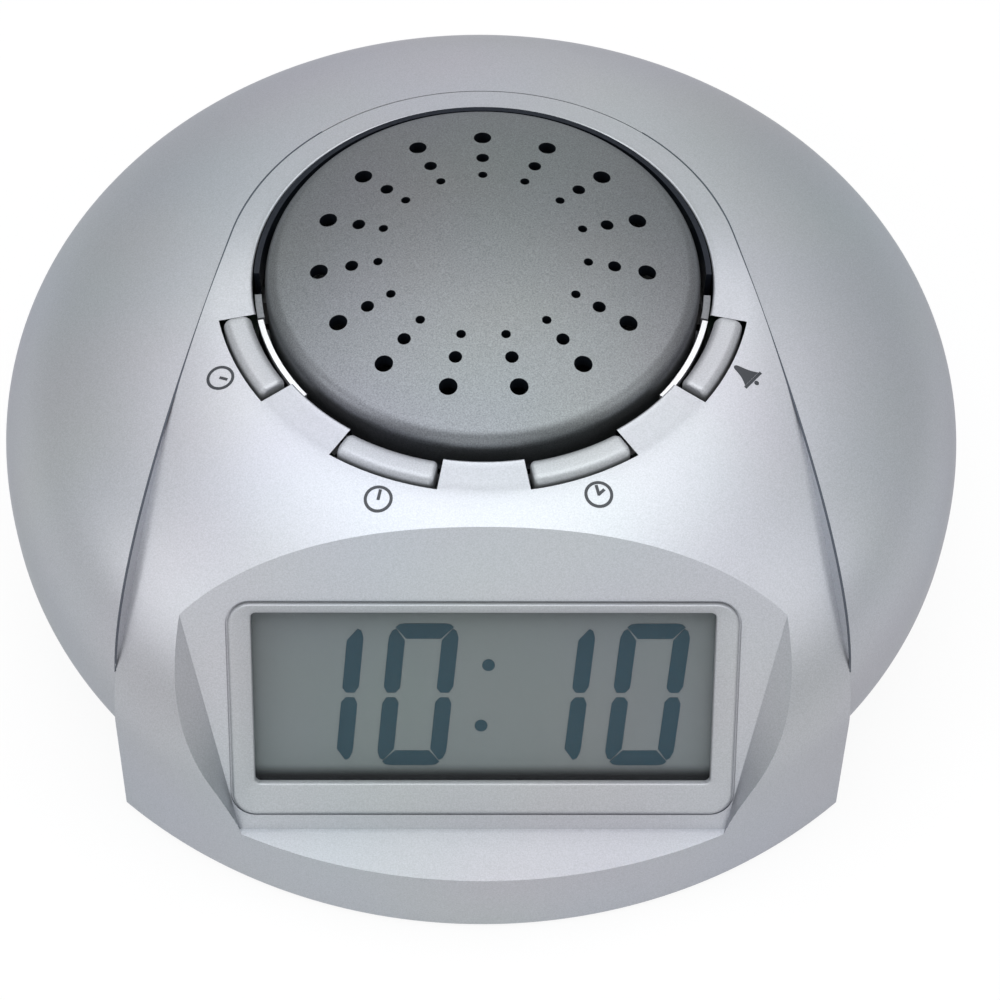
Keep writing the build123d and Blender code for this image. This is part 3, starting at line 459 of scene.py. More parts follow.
def makeFrontShell():
    # skin turned round the talk axis, trimmed to the keyhole, with the recess and the slots cut
    hole, edge = case["hole"], case["holeEdge"]
    skin = hoodProfile(0, hole)
    rim = [
        [hole + edge * (1 - sin(a)), skin[0, 1] - edge * (1 - cos(a))]
        for a in np.linspace(0, pi / 2, 6)[::-1]
    ]
    skin = np.vstack([rim, skin[skin[:, 0] > hole + edge]])
    outer = np.vstack([[hole, case["foot"]], skin])
    points, faces = spinProfile(outer[::-1], 300)
    shell = newPiece("frontShell", easeRing(points), faces)
    fixNormals(shell)
    hollow = makeHollow()
    trim = closedPiece("keyhole", [prism(keyhole(case["seamGap"]), low=-10, high=60)])
    combine(shell, trim, "INTERSECT")
    combine(shell, closedPiece("recess", [recessTool(0)]), "DIFFERENCE")
    combine(shell, hollow, "DIFFERENCE")
    reach, groove = face["cutReach"], face["groove"]
    width, height, corner, middle = face["bezel"]
    seat = roundedOutline(width + 2 * groove, height + 2 * groove, corner + groove, middle)
    combine(shell, closedPiece("seat", [facePrism(seat, -face["sink"], reach)]), "DIFFERENCE")
    cuts = [
        sector(hole - 1, keys["slotOuter"], angle, keys["slotHalfArc"], *keys["slotHeights"])
        for angle in keys["angles"]
    ]
    cuts.append(facePrism(roundedOutline(*face["opening"]), -reach, reach))
    combine(shell, closedPiece("cuts", cuts), "DIFFERENCE")
    smoothByAngle(shell, angle=12)
    return shell


def makeBezel():
    # section blended from the window outline to the outer outline: share 0 inside, 1 outside
    inner, outer = roundedOutline(*face["window"]), roundedOutline(*face["bezel"])
    section = [
        (0.0, -face["spigot"]), (0.0, 0.0), (0.03, 0.09), (0.07, 0.12),
        (0.84, face["proud"]), (0.9, face["proud"]), (0.95, 0.46), (0.985, 0.34),
        (1.0, 0.16), (1.0, -face["sink"]), (0.36, -face["sink"]), (0.34, -face["spigot"]),
    ]
    share = np.array([s for s, _ in section])[:, None, None]
    height = np.array([n for _, n in section])[:, None]
    flat = inner[None] * (1 - share) + outer[None] * share
    points = onFace(flat[..., 0], flat[..., 1], height).reshape(-1, 3)
    bezel = newPiece("displayBezel", points, gridFaces(len(section), len(inner), True, True))
    fixNormals(bezel)
    smoothByAngle(bezel, angle=50)
    return bezel


# talk button: rays of holes, each ray with holes at shares of the outer ring
button = {
    "radius": 24.1,
    "apex": 42.3,
    "crownRadius": 105.0,
    "edge": 2.0,
    "wall": 1.6,
    "step": 0.8,
    "foot": 33.0,
    "catchAngles": (0, 120, -120),
    "catchHalfArc": 6,
    "catchDepth": 0.4,
    "catch": 1.05,
    "catchHigh": 1.0,
    "rays": 15,
    "ring": 18.07,
    "shares": (1.0, 0.8, 0.64),
    "holes": (2.0, 1.45, 1.05),
}


def makeButton():
    # crown as a slice of a large sphere with more rings near its middle, quarter-round edge, plain
    # skirt, even wall inside; the profile stops just short of the axis
    b = button
    axisGap, spare = 0.01, 2
    center = b["apex"] - b["crownRadius"]
    bend = b["radius"] - b["edge"]
    bendZ = center + sqrt((b["crownRadius"] - b["edge"]) ** 2 - bend**2)
    tip = asin(bend / (b["crownRadius"] - b["edge"]))
    a = np.linspace(0, tip, 40)
    a = a * (0.6 + 0.4 * a / tip)
    crown = np.column_stack([b["crownRadius"] * np.sin(a), center + b["crownRadius"] * np.cos(a)])
    a = np.linspace(tip, pi / 2, 14)[1:]
    edge = np.column_stack([bend + b["edge"] * np.sin(a), bendZ + b["edge"] * np.cos(a)])
    inRadius = b["radius"] - b["wall"]
    inner = b["crownRadius"] - b["wall"]
    a = np.linspace(asin((inRadius - b["step"]) / inner), 0, 12)
    ceiling = np.column_stack([inner * np.sin(a), center + inner * np.cos(a)])
    skirt = [
        [b["radius"], b["foot"]],
        [inRadius, b["foot"]],
        [inRadius, ceiling[0, 1] - b["step"]],
    ]
    outline = np.vstack([crown, edge, skirt, ceiling])
    outline[outline[:, 0] < axisGap, 0] = axisGap
    cap = newPiece("talkCap", *spinProfile(outline, 240))
    fixNormals(cap)
    turn = np.linspace(0, 2 * pi, 28, endpoint=False)
    circle = np.column_stack([np.cos(turn), np.sin(turn)])
    holes = []
    for share, width in zip(b["shares"], b["holes"]):
        for k in range(b["rays"]):
            spot = polar(b["ring"] * share, 180 + 360 * k / b["rays"])
            hole = spot + width / 2 * circle
            holes.append(prism(hole, b["foot"] + spare, b["apex"] + spare))
    combine(cap, closedPiece("soundHoles", holes), "DIFFERENCE")
    inside, outside = b["radius"] - b["catchDepth"], b["radius"] + b["catch"]
    top = b["foot"] + b["catchHigh"]
    catches = [
        sector(inside, outside, angle, b["catchHalfArc"], b["foot"], top)
        for angle in b["catchAngles"]
    ]
    combine(cap, closedPiece("catches", catches), "UNION")
    smoothByAngle(cap, angle=30)
    return cap


# the four keys, from the left round the front to the right
keys = {
    "angles": (-65.0, -21.4, 21.4, 65.0),
    "nodes": ("hour_key", "minute_key", "time_key", "alarm_key"),
    "bodies": ("hour", "minute", "time", "alarm"),
    "radius": 27.7,
    "width": 3.1,
    "halfArc": 10.9,
    "crest": 38.9,
    "round": 0.95,
    "endRound": 0.55,
    "sunk": 0.4,
    "slotOuter": 29.6,
    "slotHalfArc": 11.9,
    "slotHeights": (32.0, 50.0),
    "flangeTop": 35.5,
    "flangeThick": 1.0,
    "flangeInner": 25.75,
    "flangeOuter": 30.3,
    "flangeHalfArc": 13.2,
}


def makeKey(name, angle):
    # round-edged bar carried along its arc, drawn in on a quarter round at each end, on a flange
    k = keys
    half = k["width"] / 2
    top = k["flangeTop"]
    high = k["crest"] - top
    a = np.linspace(0, pi / 2, 9)
    rightTop = np.column_stack([
        half - k["round"] + k["round"] * np.cos(a),
        high - k["round"] + k["round"] * np.sin(a),
    ])
    leftTop = rightTop[::-1] * [-1, 1]
    section = np.vstack([[half, -k["sunk"]], rightTop, leftTop, [-half, -k["sunk"]]])
    middle = np.array([0, high / 2])
    reach = k["radius"] * radians(k["halfArc"])
    a = np.linspace(0, pi / 2, 7)
    inset = k["endRound"] * (1 - np.sin(a))
    along = -reach + k["endRound"] * (1 - np.cos(a))
    straight = np.linspace(along[-1], -along[-1], 26)[1:-1]
    along = np.concatenate([along, straight, -along[::-1]])
    inset = np.concatenate([inset, np.zeros(len(straight)), inset[::-1]])
    shrink = 1 - inset[:, None] / np.array([half, high])
    points = middle + (section - middle)[None] * shrink[:, None, :]
    points[..., 1] = np.where(section[None, :, 1] < 0, -k["sunk"], points[..., 1])
    turn = angle + np.degrees(along / k["radius"])
    spot = polar(k["radius"] + points[..., 0].T, turn).transpose(1, 0, 2)
    grid = np.concatenate([spot, top + points[..., 1:]], -1)
    rows, cols = grid.shape[:2]
    ends = [list(range(cols)), list(range((rows - 1) * cols, rows * cols))[::-1]]
    bar = (grid.reshape(-1, 3), gridFaces(rows, cols, closeCols=True) + ends)
    plan = (k["flangeInner"], k["flangeOuter"], angle, k["flangeHalfArc"])
    flange = sector(*plan, top - k["flangeThick"], top)
    key = newPiece(name, *joinParts([bar, flange]))
    fixNormals(key)
    smoothByAngle(key, angle=35)
    return key


# display digits: seven-segment shapes with mitred, pointed ends, leaning to the right, on the
# glass at a depth under the display plane
digits = {
    "height": 16.6,
    "width": 7.4,
    "stroke": 1.75,
    "footV": 16.6,
    "lean": 1.65 / 16.6,
    "depth": 2.0,
    "under": 0.04,
    "over": 0.02,
    "ones": (-21.55, 2.95),
    "noughts": (-11.5, 13.0),
    "colon": ((0.57, 28.4), (-0.2, 21.3)),
    "dot": 0.68,
}


def segmentShapes():
    # outlines of the bars of a one and of a nought
    w, h, t = digits["width"], digits["height"], digits["stroke"]
    upright = np.array([
        (w - t, h - t - 0.2), (w - 0.72, h - 0.62), (w - 0.3, h - 0.85), (w - 0.02, h - 1.6),
        (w, h - 2.2), (w, h / 2 + 1.0), (w - 0.4, h / 2 + 0.28), (w - t + 0.45, h / 2 + 0.28),
        (w - t, h / 2 + 0.85),
    ])
    cross = np.array([
        (t + 0.12, h - t), (0.62, h - 0.42), (1.0, h - 0.1), (1.5, h),
        (w - 1.5, h), (w - 1.0, h - 0.1), (w - 0.62, h - 0.42), (w - t - 0.12, h - t),
    ])

    def flipUp(shape):
        return np.column_stack([shape[:, 0], h - shape[:, 1]])

    def flipAcross(shape):
        return np.column_stack([w - shape[:, 0], shape[:, 1]])

    one = [upright, flipUp(upright)]
    nought = one + [flipAcross(upright), flipAcross(flipUp(upright)), cross, flipUp(cross)]
    return one, nought


def makeDigits():
    # flat outlines leaned by a steady share of their height and laid on the glass
    one, nought = segmentShapes()
    flats = []
    shapes = [(one, x) for x in digits["ones"]] + [(nought, x) for x in digits["noughts"]]
    for group, x in shapes:
        for shape in group:
            leaned = x + shape[:, 0] + digits["lean"] * shape[:, 1]
            flats.append(np.column_stack([leaned, digits["footV"] + shape[:, 1]]))
    turn = np.linspace(0, 2 * pi, 32, endpoint=False)
    for spot in digits["colon"]:
        circle = np.column_stack([np.cos(turn), np.sin(turn)])
        flats.append(np.array(spot) + digits["dot"] * circle)
    low, high = -digits["depth"] - digits["under"], digits["over"] - digits["depth"]
    return closedPiece("displayDigits", [facePrism(flat, low, high) for flat in flats])


# plain signs printed beside the keys: clocks with a short, a long and both hands, and a bell
signs = {
    "kinds": ("hour", "minute", "time", "bell"),
    "angles": (-63.0, -20.0, 22.0, 64.0),
    "radii": (31.7, 32.1, 31.9, 31.3),
    "turns": (-52.0, -12.0, 14.0, 50.0),
    "size": 1.35,
    "line": 0.33,
    "thick": 0.03,
    "shortHand": 0.62,
    "longHand": 0.8,
    "tail": 0.12,
}

# the bell's heights and half widths, as shares of the signs' size
bell = {
    "top": 1.05,
    "mouth": -0.72,
    "neck": 0.28,
    "flare": 0.62,
    "flarePower": 2.2,
    "roundPower": 6,
    "foot": -0.86,
    "footHalf": 1.05,
    "clapper": -1.22,
    "knob": 0.2,
}

# joint line between the covers, drawn on the dome and thinner towards its end on the ring
seam = {
    "width": 0.3,
    "fade": 0.2,
    "thick": 0.03,
    "sideReach": 56.0,
    "ringEnd": radians(50),
    "domeReach": 54.3,
    "slopeStep": 0.1,
}


def ribbon(path, width):
    # left and right edge of a flat stroke along a path
    path = np.asarray(path, float)
    width = np.broadcast_to(np.asarray(width, float), (len(path),))
    ahead = np.gradient(path, axis=0)
    ahead /= np.maximum(np.hypot(*ahead.T)[:, None], 1e-9)
    side = np.column_stack([-ahead[:, 1], ahead[:, 0]]) * width[:, None] / 2
    return np.stack([path + side, path - side], 1)


def layStroke(flat, z, thick, closed=False):
    # solid stroke from the plan and the height of its edges, thick above and below that height
    over = np.concatenate([flat, (z + thick)[..., None]], -1)
    under = np.concatenate([flat, (z - thick)[..., None]], -1)
    loop = np.concatenate([over, under[:, ::-1]], 1)
    if closed:
        loop = loop[:-1]
    faces = gridFaces(len(loop), 4, closed, True)
    if not closed:
        last = 4 * (len(loop) - 1)
        faces += [[0, 1, 2, 3], [last + 3, last + 2, last + 1, last]]
    return loop.reshape(-1, 3), faces


def bellStrokes(r, line):
    # body that widens downwards and closes round at its top, foot line and round clapper
    height = np.linspace(bell["mouth"] * r, bell["top"] * r, 25)
    share = (height - height[0]) / (height[-1] - height[0])
    flare = bell["neck"] + bell["flare"] * np.maximum(1 - share, 0) ** bell["flarePower"]
    body = 2 * r * flare * np.sqrt(np.maximum(1 - share ** bell["roundPower"], 0.0004))
    half = bell["footHalf"] * r
    foot = np.column_stack([np.linspace(-half, half, 15), np.full(15, bell["foot"] * r)])
    drop = np.linspace(-1.0, 1.0, 11)
    knob = bell["knob"] * r
    clapper = np.column_stack([np.zeros(11), bell["clapper"] * r + knob * drop])
    return [
        (np.column_stack([np.zeros(25), height]), body),
        (foot, line),
        (clapper, 2 * knob * np.sqrt(np.maximum(1 - drop**2, 0.01))),
    ]


def signStrokes(kind):
    # strokes of one sign in its own plane, each a path and a width
    r, line = signs["size"], signs["line"]
    if kind == "bell":
        return bellStrokes(r, line)

    def hand(share, angle):
        tip = share * r * np.array([sin(radians(angle)), cos(radians(angle))])
        return np.linspace(-signs["tail"] * tip, tip, 9), line

    turn = np.linspace(0, 2 * pi, 49)
    strokes = [(r * np.column_stack([np.cos(turn), np.sin(turn)]), line)]
    if kind != "hour":
        strokes.append(hand(signs["longHand"], 0))
    if kind != "minute":
        strokes.append(hand(signs["shortHand"], 60))
    return strokes


def makeSigns():
    # each stroke is laid on the skin at its height, a little over and a little under it
    parts = []
    places = zip(signs["kinds"], signs["angles"], signs["radii"], signs["turns"])
    for kind, angle, radius, turn in places:
        c, s = cos(radians(turn)), sin(radians(turn))
        for path, width in signStrokes(kind):
            flat = ribbon(path, width) @ np.array([[c, s], [-s, c]]) + polar(radius, angle)
            z = hoodHeight(np.hypot(flat[..., 0], flat[..., 1] - case["talkY"]))
            closed = np.allclose(path[0], path[-1])
            parts.append(layStroke(flat, z, signs["thick"], closed))
    return closedPiece("keySigns", parts)


def makeSeam():
    # dark line on the dome along both sides of the front and part of its ring, thicker on a slope
    radius, turn = case["ring"][0], case["splay"]
    side = np.array([radius * cos(turn), case["talkY"] + radius * sin(turn)])
    backwards = np.linspace(seam["sideReach"], 0, 90)[:-1, None]
    straight = side + backwards * np.array([sin(turn), -cos(turn)])
    path = np.vstack([straight, onRing(radius, np.linspace(turn, seam["ringEnd"], 30))])
    path = path[np.hypot(path[:, 0], path[:, 1] - case["domeY"]) < seam["domeReach"]]
    width = seam["width"] * np.linspace(1, seam["fade"], len(path)) ** 0.5
    flat = ribbon(path, width)
    x, y = flat[..., 0], flat[..., 1]
    z = domeHeight(x, y)
    step = seam["slopeStep"]
    out = 1 + step / np.hypot(x, y - case["domeY"])
    slope = (z - domeHeight(x * out, case["domeY"] + (y - case["domeY"]) * out)) / step
    points, faces = layStroke(flat, z, seam["thick"] * np.sqrt(1 + slope**2))
    other = (points * [-1, 1, 1], [corners[::-1] for corners in faces])
    return closedPiece("seamLine", [(points, faces), other])


print("shapes described")
rearShell = makeRearShell()
print("rear shell built")
frontShell = makeFrontShell()
print("front shell built")
talkCap = makeButton()
print("talk cap built")
bezel = makeBezel()
keyPieces = [
    makeKey(node.replace("_key", "Key"), angle)
    for node, angle in zip(keys["nodes"], keys["angles"])
]
digitPiece = makeDigits()
signPiece = makeSigns()
seamPiece = makeSeam()
print("keys, bezel and digits built")


# materials

# what all paints share: fine flakes, a slow cloud over them, and what the flakes do to the gloss
flake = {
    "detail": 3,
    "roughness": 0.7,
    "spread": (0.36, 0.64),
    "cloudScale": 28,
    "cloudDetail": 2,
    "cloudShare": 0.12,
    "glossSpread": 0.05,
    "relief": 0.3,
    "coatRoughness": 0.25,
}


def addNode(nodes, kind, values=None):
    # new node with values for its input sockets, by name or number
    node = nodes.new(kind)
    for socket, value in (values or {}).items():
        node.inputs[socket].default_value = value
    return node


def paint(name, color, metallic, roughness, grain, grainSize, bump, coat=0.0):
    # base colour shaded by flakes and cloud; the flakes also set the roughness and the bump
    material = bpy.data.materials.new(name)
    material.use_nodes = True
    nodes, links = material.node_tree.nodes, material.node_tree.links
    shader = nodes["Principled BSDF"]
    place = nodes.new("ShaderNodeTexCoord")
    flakes = addNode(nodes, "ShaderNodeTexNoise", {
        "Scale": 1 / (grainSize * mm),
        "Detail": flake["detail"],
        "Roughness": flake["roughness"],
    })
    cloud = addNode(nodes, "ShaderNodeTexNoise", {
        "Scale": flake["cloudScale"],
        "Detail": flake["cloudDetail"],
    })
    ramp = nodes.new("ShaderNodeValToRGB")
    for k, factor in enumerate((1 - grain, 1 + grain)):
        ramp.color_ramp.elements[k].position = flake["spread"][k]
        ramp.color_ramp.elements[k].color = (*[min(1, c * factor) for c in color], 1)
    tint = nodes.new("ShaderNodeMix")
    tint.data_type, tint.blend_type = "RGBA", "SOFT_LIGHT"
    tint.inputs[0].default_value = flake["cloudShare"]
    gloss = addNode(nodes, "ShaderNodeMapRange", {
        "To Min": roughness - flake["glossSpread"],
        "To Max": roughness + flake["glossSpread"],
    })
    relief = addNode(nodes, "ShaderNodeBump", {
        "Strength": bump,
        "Distance": grainSize * mm * flake["relief"],
    })
    for start, end in (
        (place.outputs["Object"], flakes.inputs["Vector"]),
        (place.outputs["Object"], cloud.inputs["Vector"]),
        (flakes.outputs["Fac"], ramp.inputs["Fac"]),
        (ramp.outputs["Color"], tint.inputs[6]),
        (cloud.outputs["Color"], tint.inputs[7]),
        (tint.outputs[2], shader.inputs["Base Color"]),
        (flakes.outputs["Fac"], gloss.inputs["Value"]),
        (gloss.outputs["Result"], shader.inputs["Roughness"]),
        (flakes.outputs["Fac"], relief.inputs["Height"]),
        (relief.outputs["Normal"], shader.inputs["Normal"]),
    ):
        links.new(start, end)
    shader.inputs["Metallic"].default_value = metallic
    shader.inputs["Coat Weight"].default_value = coat
    shader.inputs["Coat Roughness"].default_value = flake["coatRoughness"]
    return material


# one look per material slot: colour, metallic, roughness, grain, grain size, bump
finish = {
    "body_silver": paint("bodySilver", (0.46, 0.475, 0.51), 0.75, 0.46, 0.10, 0.16, 0.10),
    "bezel_silver": paint("bezelSilver", (0.42, 0.435, 0.46), 0.6, 0.5, 0.10, 0.16, 0.10),
    "button_grey": paint("buttonGrey", (0.19, 0.2, 0.212), 0.85, 0.44, 0.22, 0.16, 0.2),
    "key_silver": paint("keySilver", (0.41, 0.425, 0.45), 0.55, 0.45, 0.12, 0.18, 0.12),
    "bright_ring": paint("brightRing", (0.75, 0.76, 0.78), 0.6, 0.3, 0.06, 0.2, 0.05),
    "dark_ring": paint("darkRing", (0.012, 0.015, 0.022), 0.0, 0.22, 0.15, 0.3, 0.02),
    "guide_grey": paint("guideGrey", (0.22, 0.23, 0.25), 0.1, 0.5, 0.12, 0.3, 0.1),
    "lcd": paint("displayGround", (0.148, 0.172, 0.18), 0.0, 0.35, 0.04, 0.25, 0.02),
    "dark_plastic": paint("darkPlastic", (0.012, 0.012, 0.013), 0.0, 0.45, 0.2, 0.3, 0.1),
    "base_grey": paint("baseGrey", (0.2, 0.205, 0.21), 0.0, 0.5, 0.12, 0.35, 0.25),
    "soft_contact": paint("softContact", (0.1, 0.1, 0.11), 0.0, 0.7, 0.2, 0.3, 0.1),
    "board_green": paint("boardGreen", (0.003, 0.02, 0.008), 0.0, 0.35, 0.3, 0.8, 0.1, coat=0.3),
    "spring_steel": paint("springSteel", (0.6, 0.6, 0.6), 1.0, 0.3, 0.1, 0.3, 0.05),
    "speaker_metal": paint("speakerMetal", (0.5, 0.5, 0.51), 1.0, 0.4, 0.1, 0.3, 0.05),
    "speaker_paper": paint("speakerPaper", (0.01, 0.01, 0.011), 0.0, 0.6, 0.3, 0.4, 0.2),
    "magnet_dark": paint("magnetDark", (0.03, 0.03, 0.032), 0.0, 0.6, 0.3, 0.5, 0.3),
    "cell_jacket": paint("cellJacket", (0.06, 0.07, 0.1), 0.2, 0.35, 0.1, 0.5, 0.05, coat=0.4),
    "feet_rubber": paint("feetRubber", (0.012, 0.012, 0.012), 0.0, 0.75, 0.3, 0.5, 0.3),
}
ink = paint("digitInk", (0.006, 0.036, 0.056), 0.0, 0.5, 0.08, 0.3, 0.02)
signInk = paint("signInk", (0.018, 0.022, 0.03), 0.0, 0.45, 0.1, 0.2, 0.02)
seamShade = paint("seamShade", (0.07, 0.08, 0.1), 0.0, 0.6, 0.12, 0.2, 0.02)
# near-black look for painted shade in holes, gaps and on undersides
paintedGapShade = paint("paintedGapShade", (0.006, 0.008, 0.012), 0.0, 0.5, 0.15, 0.3, 0.05)

# painted shade, where colours fall off to dark: heights for the ring and the keys down in their
# slots, v for the glass under its frame; and how strong the sheen at low angles is on dark looks
# and on metal paint
shade = {
    "paintedSlotShade": (0.008, 0.01, 0.014),
    "brightRing": (36.0, 36.6),
    "keys": (35.6, 36.6),
    "glass": (0.002, 0.003, 0.005),
    "glassV": (15.2, 16.9),
    "darkLevel": 0.2,
    "metalLevel": 0.3,
    "metalTint": (0.5, 0.5, 0.53, 1),
}


def shaderOf(material):
    return material.node_tree.nodes["Principled BSDF"]


def paintShadeBelow(material, direction, low, high, dark, easing="LINEAR"):
    # painted shade: the colour falls off to dark between two distances along a direction in the row
    # frame
    nodes, links = material.node_tree.nodes, material.node_tree.links
    place = nodes.new("ShaderNodeTexCoord")
    along = addNode(nodes, "ShaderNodeVectorMath", {1: direction})
    along.operation = "DOT_PRODUCT"
    reach = addNode(nodes, "ShaderNodeMapRange", {"From Min": low * mm, "From Max": high * mm})
    reach.interpolation_type = easing
    mix = nodes.new("ShaderNodeMix")
    mix.data_type = "RGBA"
    mix.inputs[6].default_value = (*dark, 1)
    baseColor = shaderOf(material).inputs["Base Color"]
    links.new(place.outputs["Object"], along.inputs[0])
    links.new(along.outputs["Value"], reach.inputs["Value"])
    links.new(reach.outputs["Result"], mix.inputs[0])
    links.new(baseColor.links[0].from_socket, mix.inputs[7])
    links.new(mix.outputs[2], baseColor)


# the frame shades the glass along its foot
upFace = (0, cos(face["tilt"]), sin(face["tilt"]))
faceStart = -face["front"] * cos(face["tilt"]) + case["foot"] * sin(face["tilt"])
low, high = (faceStart + v for v in shade["glassV"])
paintShadeBelow(finish["lcd"], upFace, low, high, shade["glass"], "SMOOTHSTEP")
for darkLook in (finish["dark_ring"], paintedGapShade, ink, seamShade, finish["lcd"]):
    shaderOf(darkLook).inputs["Specular IOR Level"].default_value = shade["darkLevel"]
for slotName in ("body_silver", "bezel_silver", "button_grey"):
    # metal paint stays dark where it is seen at a low angle
    shader = shaderOf(finish[slotName])
    shader.inputs["Specular Tint"].default_value = shade["metalTint"]
    shader.inputs["Specular IOR Level"].default_value = shade["metalLevel"]
# painted shade: the ring and the keys fall off to dark below a height, where they sit down in their
# slots
paintShadeBelow(finish["bright_ring"], (0, 0, 1), *shade["brightRing"], shade["paintedSlotShade"])
paintShadeBelow(finish["key_silver"], (0, 0, 1), *shade["keys"], shade["paintedSlotShade"])


def clearPlastic(name):
    # thin clear sheet: see-through, with a faint haze that varies slowly
    material = paint(name, (0.8, 0.83, 0.84), 0.0, 0.12, 0.03, 3.0, 0.01)
    shaderOf(material).inputs["Alpha"].default_value = 0.015
    material.surface_render_method = "BLENDED"
    return material


finish["clear_window"] = clearPlastic("clearWindow")


def dress(piece, slotName, material=None):
    piece.data.materials.clear()
    piece.data.materials.append(material or finish[slotName])


def paintWallShade(piece, reach, low):
    # second material, painted shade: on faces that look down, and on steep walls
    # above a height that stand within reach of the talk axis, in the holes and gaps round the
    # button and the keys
    steep, down = 0.3, -0.6
    mesh = piece.data
    normal, middle = np.empty((2, len(mesh.polygons), 3))
    mesh.polygons.foreach_get("normal", normal.ravel())
    mesh.polygons.foreach_get("center", middle.ravel())
    radius = np.hypot(middle[:, 0] / mm, middle[:, 1] / mm - case["talkY"])
    wall = (np.abs(normal[:, 2]) < steep) & (radius < reach) & (middle[:, 2] / mm > low)
    dark = wall | (normal[:, 2] < down)
    mesh.materials.append(paintedGapShade)
    mesh.polygons.foreach_set("material_index", dark.astype(np.int32))


for subpart in frame["record"]["subparts"]:
    node = frame["nodes"][subpart["node"]]
    node.data.materials.clear()
    node.data.materials.append(finish[subpart["material_slot"]])

dress(rearShell, "body_silver")
dress(frontShell, "body_silver")
dress(talkCap, "button_grey")
dress(bezel, "bezel_silver")
dress(digitPiece, "lcd", ink)
dress(signPiece, "dark_plastic", signInk)
dress(seamPiece, "dark_plastic", seamShade)
# painted shade in the hole and slots round the button, in the sound holes and on undersides
paintWallShade(frontShell, reach=29.7, low=33.0)
paintWallShade(talkCap, reach=21.5, low=0.0)
for piece, node, body in zip(keyPieces, keys["nodes"], keys["bodies"]):
    dress(piece, "key_silver")
    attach(piece, body)
    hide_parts(node)
covers = ((rearShell, "rear_cover"), (frontShell, "front_cover"), (bezel, "display_bezel"))
for piece, node in covers:
    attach(piece, "case")
    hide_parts(node)
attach(digitPiece, "case")
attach(signPiece, "case")
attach(seamPiece, "case")
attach(talkCap, "talk")
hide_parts("talk_button")
print("materials set")


# camera at the photograph's place
view = {
    "place": (-2.31, -174.21, 250.65),
    "right": (0.99996268, -0.00367284, 0.00781992),
    "down": (0.00153399, -0.81527450, -0.57907265),
    "forward": (0.00850222, 0.57906303, -0.81523844),
    "lens": 90.016,
    "sensor": 36,
    "shift": (0.017, -0.020),
    "clip": (0.01, 20),
}
eye = bpy.data.objects.new("camera", bpy.data.cameras.new("camera"))
bpy.context.scene.collection.objects.link(eye)
up, back = [-c for c in view["down"]], [-c for c in view["forward"]]
axes = Matrix([view["right"], up, back]).transposed()
eye.matrix_world = Matrix.Translation(Vector(view["place"]) * mm) @ axes.to_4x4()
eye.data.sensor_width = view["sensor"]
eye.data.lens = view["lens"]
eye.data.shift_x, eye.data.shift_y = view["shift"]
eye.data.clip_start, eye.data.clip_end = view["clip"]
bpy.context.scene.camera = eye
bpy.context.scene.view_settings.view_transform = "Standard"


# floor and sky: a pale look for the camera, gloss and glass, another for the light on matt surfaces

def seenDirectly(nodes, links):
    # 1 for rays from the camera, off gloss and through glass, 0 for the light on matt surfaces
    rays = nodes.new("ShaderNodeLightPath")
    total = rays.outputs["Is Camera Ray"]
    for name in ("Is Glossy Ray", "Is Transmission Ray"):
        most = nodes.new("ShaderNodeMath")
        most.operation = "MAXIMUM"
        links.new(total, most.inputs[0])
        links.new(rays.outputs[name], most.inputs[1])
        total = most.outputs[0]
    return total


# the floor is a little under the feet and lights the clock less from further away
ground = {
    "half": 4000.0,
    "low": 0.02,
    "near": 0.1,
    "far": 0.45,
    "nearShade": 0.85,
    "farShade": 0.3,
    "glowShare": 0.9,
}


def makeFloor():
    half = ground["half"]
    plan = ((-half, -half), (half, -half), (half, half), (-half, half))
    corners = [[x, y, -ground["low"]] for x, y in plan]
    floor = newPiece("floor", corners, [[0, 1, 2, 3]], smooth=False)
    look = bpy.data.materials.new("floorPale")
    look.use_nodes = True
    nodes, links = look.node_tree.nodes, look.node_tree.links
    nodes.clear()
    output = nodes.new("ShaderNodeOutputMaterial")
    matt = nodes.new("ShaderNodeBsdfDiffuse")
    glow = addNode(nodes, "ShaderNodeEmission", {"Color": (1, 1, 1, 1)})
    place = nodes.new("ShaderNodeTexCoord")
    away = nodes.new("ShaderNodeVectorMath")
    away.operation = "LENGTH"
    fall = addNode(nodes, "ShaderNodeMapRange", {
        "From Min": ground["near"],
        "From Max": ground["far"],
        "To Min": ground["nearShade"],
        "To Max": ground["farShade"],
    })
    share = addNode(nodes, "ShaderNodeMath", {1: ground["glowShare"]})
    share.operation = "MULTIPLY"
    both = nodes.new("ShaderNodeMixShader")
    links.new(place.outputs["Object"], away.inputs[0])
    links.new(away.outputs["Value"], fall.inputs["Value"])
    links.new(fall.outputs["Result"], matt.inputs["Color"])
    links.new(seenDirectly(nodes, links), share.inputs[0])
    links.new(share.outputs[0], both.inputs[0])
    links.new(matt.outputs[0], both.inputs[1])
    links.new(glow.outputs[0], both.inputs[2])
    links.new(both.outputs[0], output.inputs["Surface"])
    floor.data.materials.append(look)


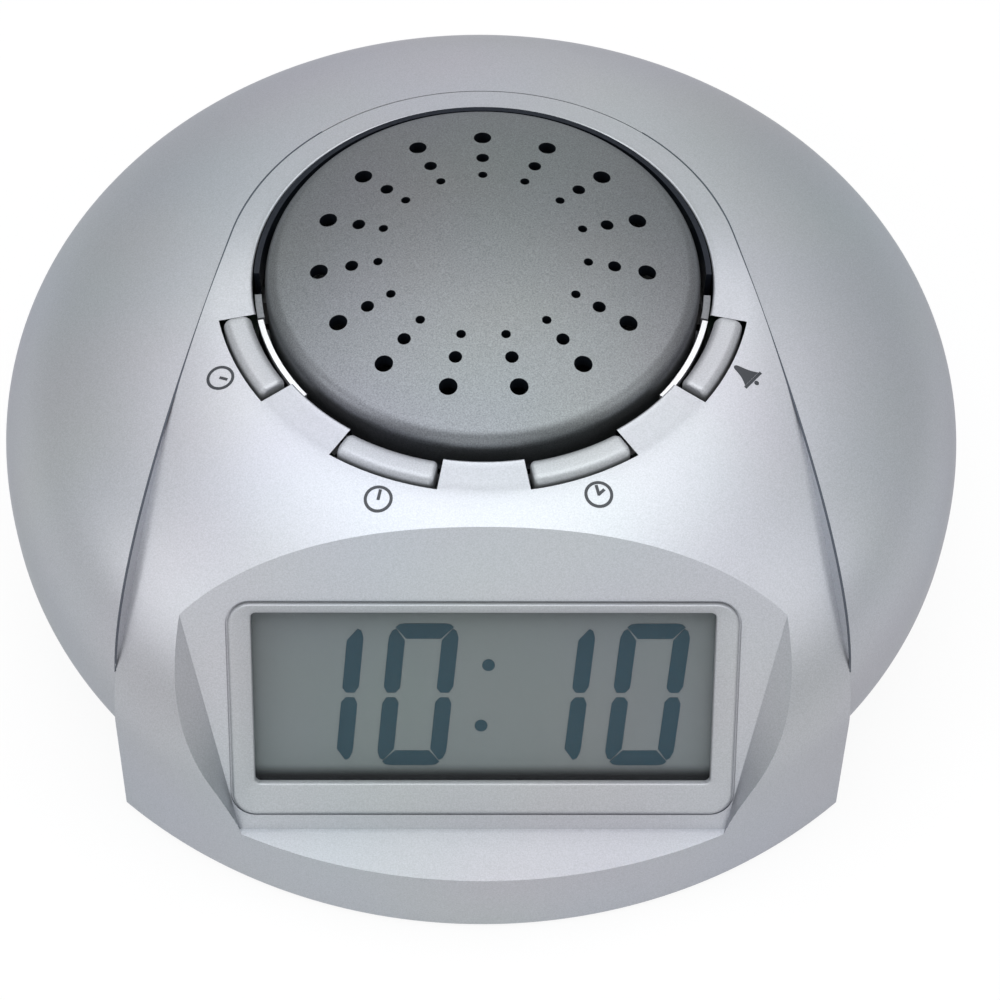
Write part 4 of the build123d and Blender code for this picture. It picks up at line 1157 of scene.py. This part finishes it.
# backdrop is the strength that metal and glass show, horizon and zenith light the matt surfaces;
# a lamp is its place, size and watts
light = {
    "backdrop": 0.416,
    "horizon": 0.16,
    "zenith": 0.45,
    "skyColor": (0.94, 0.97, 1.0, 1),
    "aim": (0, 0, 0.02),
    "lamps": {
        "topBox": ((0.0, 0.05, 0.62), 0.75, 3.6),
        "frontBox": ((-0.05, -0.9, 0.35), 0.8, 1.6),
        "backBox": ((0.0, 0.9, 0.3), 0.7, 0.6),
        "leftBox": ((-0.62, -0.22, 0.48), 0.4, 1.15),
        "rightBox": ((0.62, -0.22, 0.48), 0.4, 0.85),
    },
}


def makeWorld():
    world = bpy.data.worlds.new("studio")
    bpy.context.scene.world = world
    world.use_nodes = True
    nodes, links = world.node_tree.nodes, world.node_tree.links
    nodes.clear()
    output = nodes.new("ShaderNodeOutputWorld")
    seen = addNode(nodes, "ShaderNodeBackground", {"Color": (1, 1, 1, 1)})
    # white to the camera, pale off metal and through glass
    pale = addNode(nodes, "ShaderNodeMapRange", {"To Min": light["backdrop"]})
    links.new(nodes.new("ShaderNodeLightPath").outputs["Is Camera Ray"], pale.inputs["Value"])
    links.new(pale.outputs["Result"], seen.inputs["Strength"])
    lit = addNode(nodes, "ShaderNodeBackground", {"Color": light["skyColor"]})
    place = nodes.new("ShaderNodeTexCoord")
    split = nodes.new("ShaderNodeSeparateXYZ")
    climb = addNode(nodes, "ShaderNodeMapRange", {
        "To Min": light["horizon"],
        "To Max": light["zenith"],
    })
    links.new(place.outputs["Generated"], split.inputs[0])
    links.new(split.outputs["Z"], climb.inputs["Value"])
    links.new(climb.outputs["Result"], lit.inputs["Strength"])
    both = nodes.new("ShaderNodeMixShader")
    links.new(seenDirectly(nodes, links), both.inputs[0])
    links.new(lit.outputs[0], both.inputs[1])
    links.new(seen.outputs[0], both.inputs[2])
    links.new(both.outputs[0], output.inputs["Surface"])


def softbox(name, place, size, watts):
    lamp = bpy.data.objects.new(name, bpy.data.lights.new(name, "AREA"))
    bpy.context.scene.collection.objects.link(lamp)
    lamp.location = place
    towards = Vector(light["aim"]) - Vector(place)
    lamp.rotation_euler = towards.to_track_quat("-Z", "Y").to_euler()
    lamp.data.shape, lamp.data.size, lamp.data.energy = "DISK", size, watts


makeFloor()
makeWorld()
for name, (place, size, watts) in light["lamps"].items():
    softbox(name, place, size, watts)
print("camera, floor and lamps set")
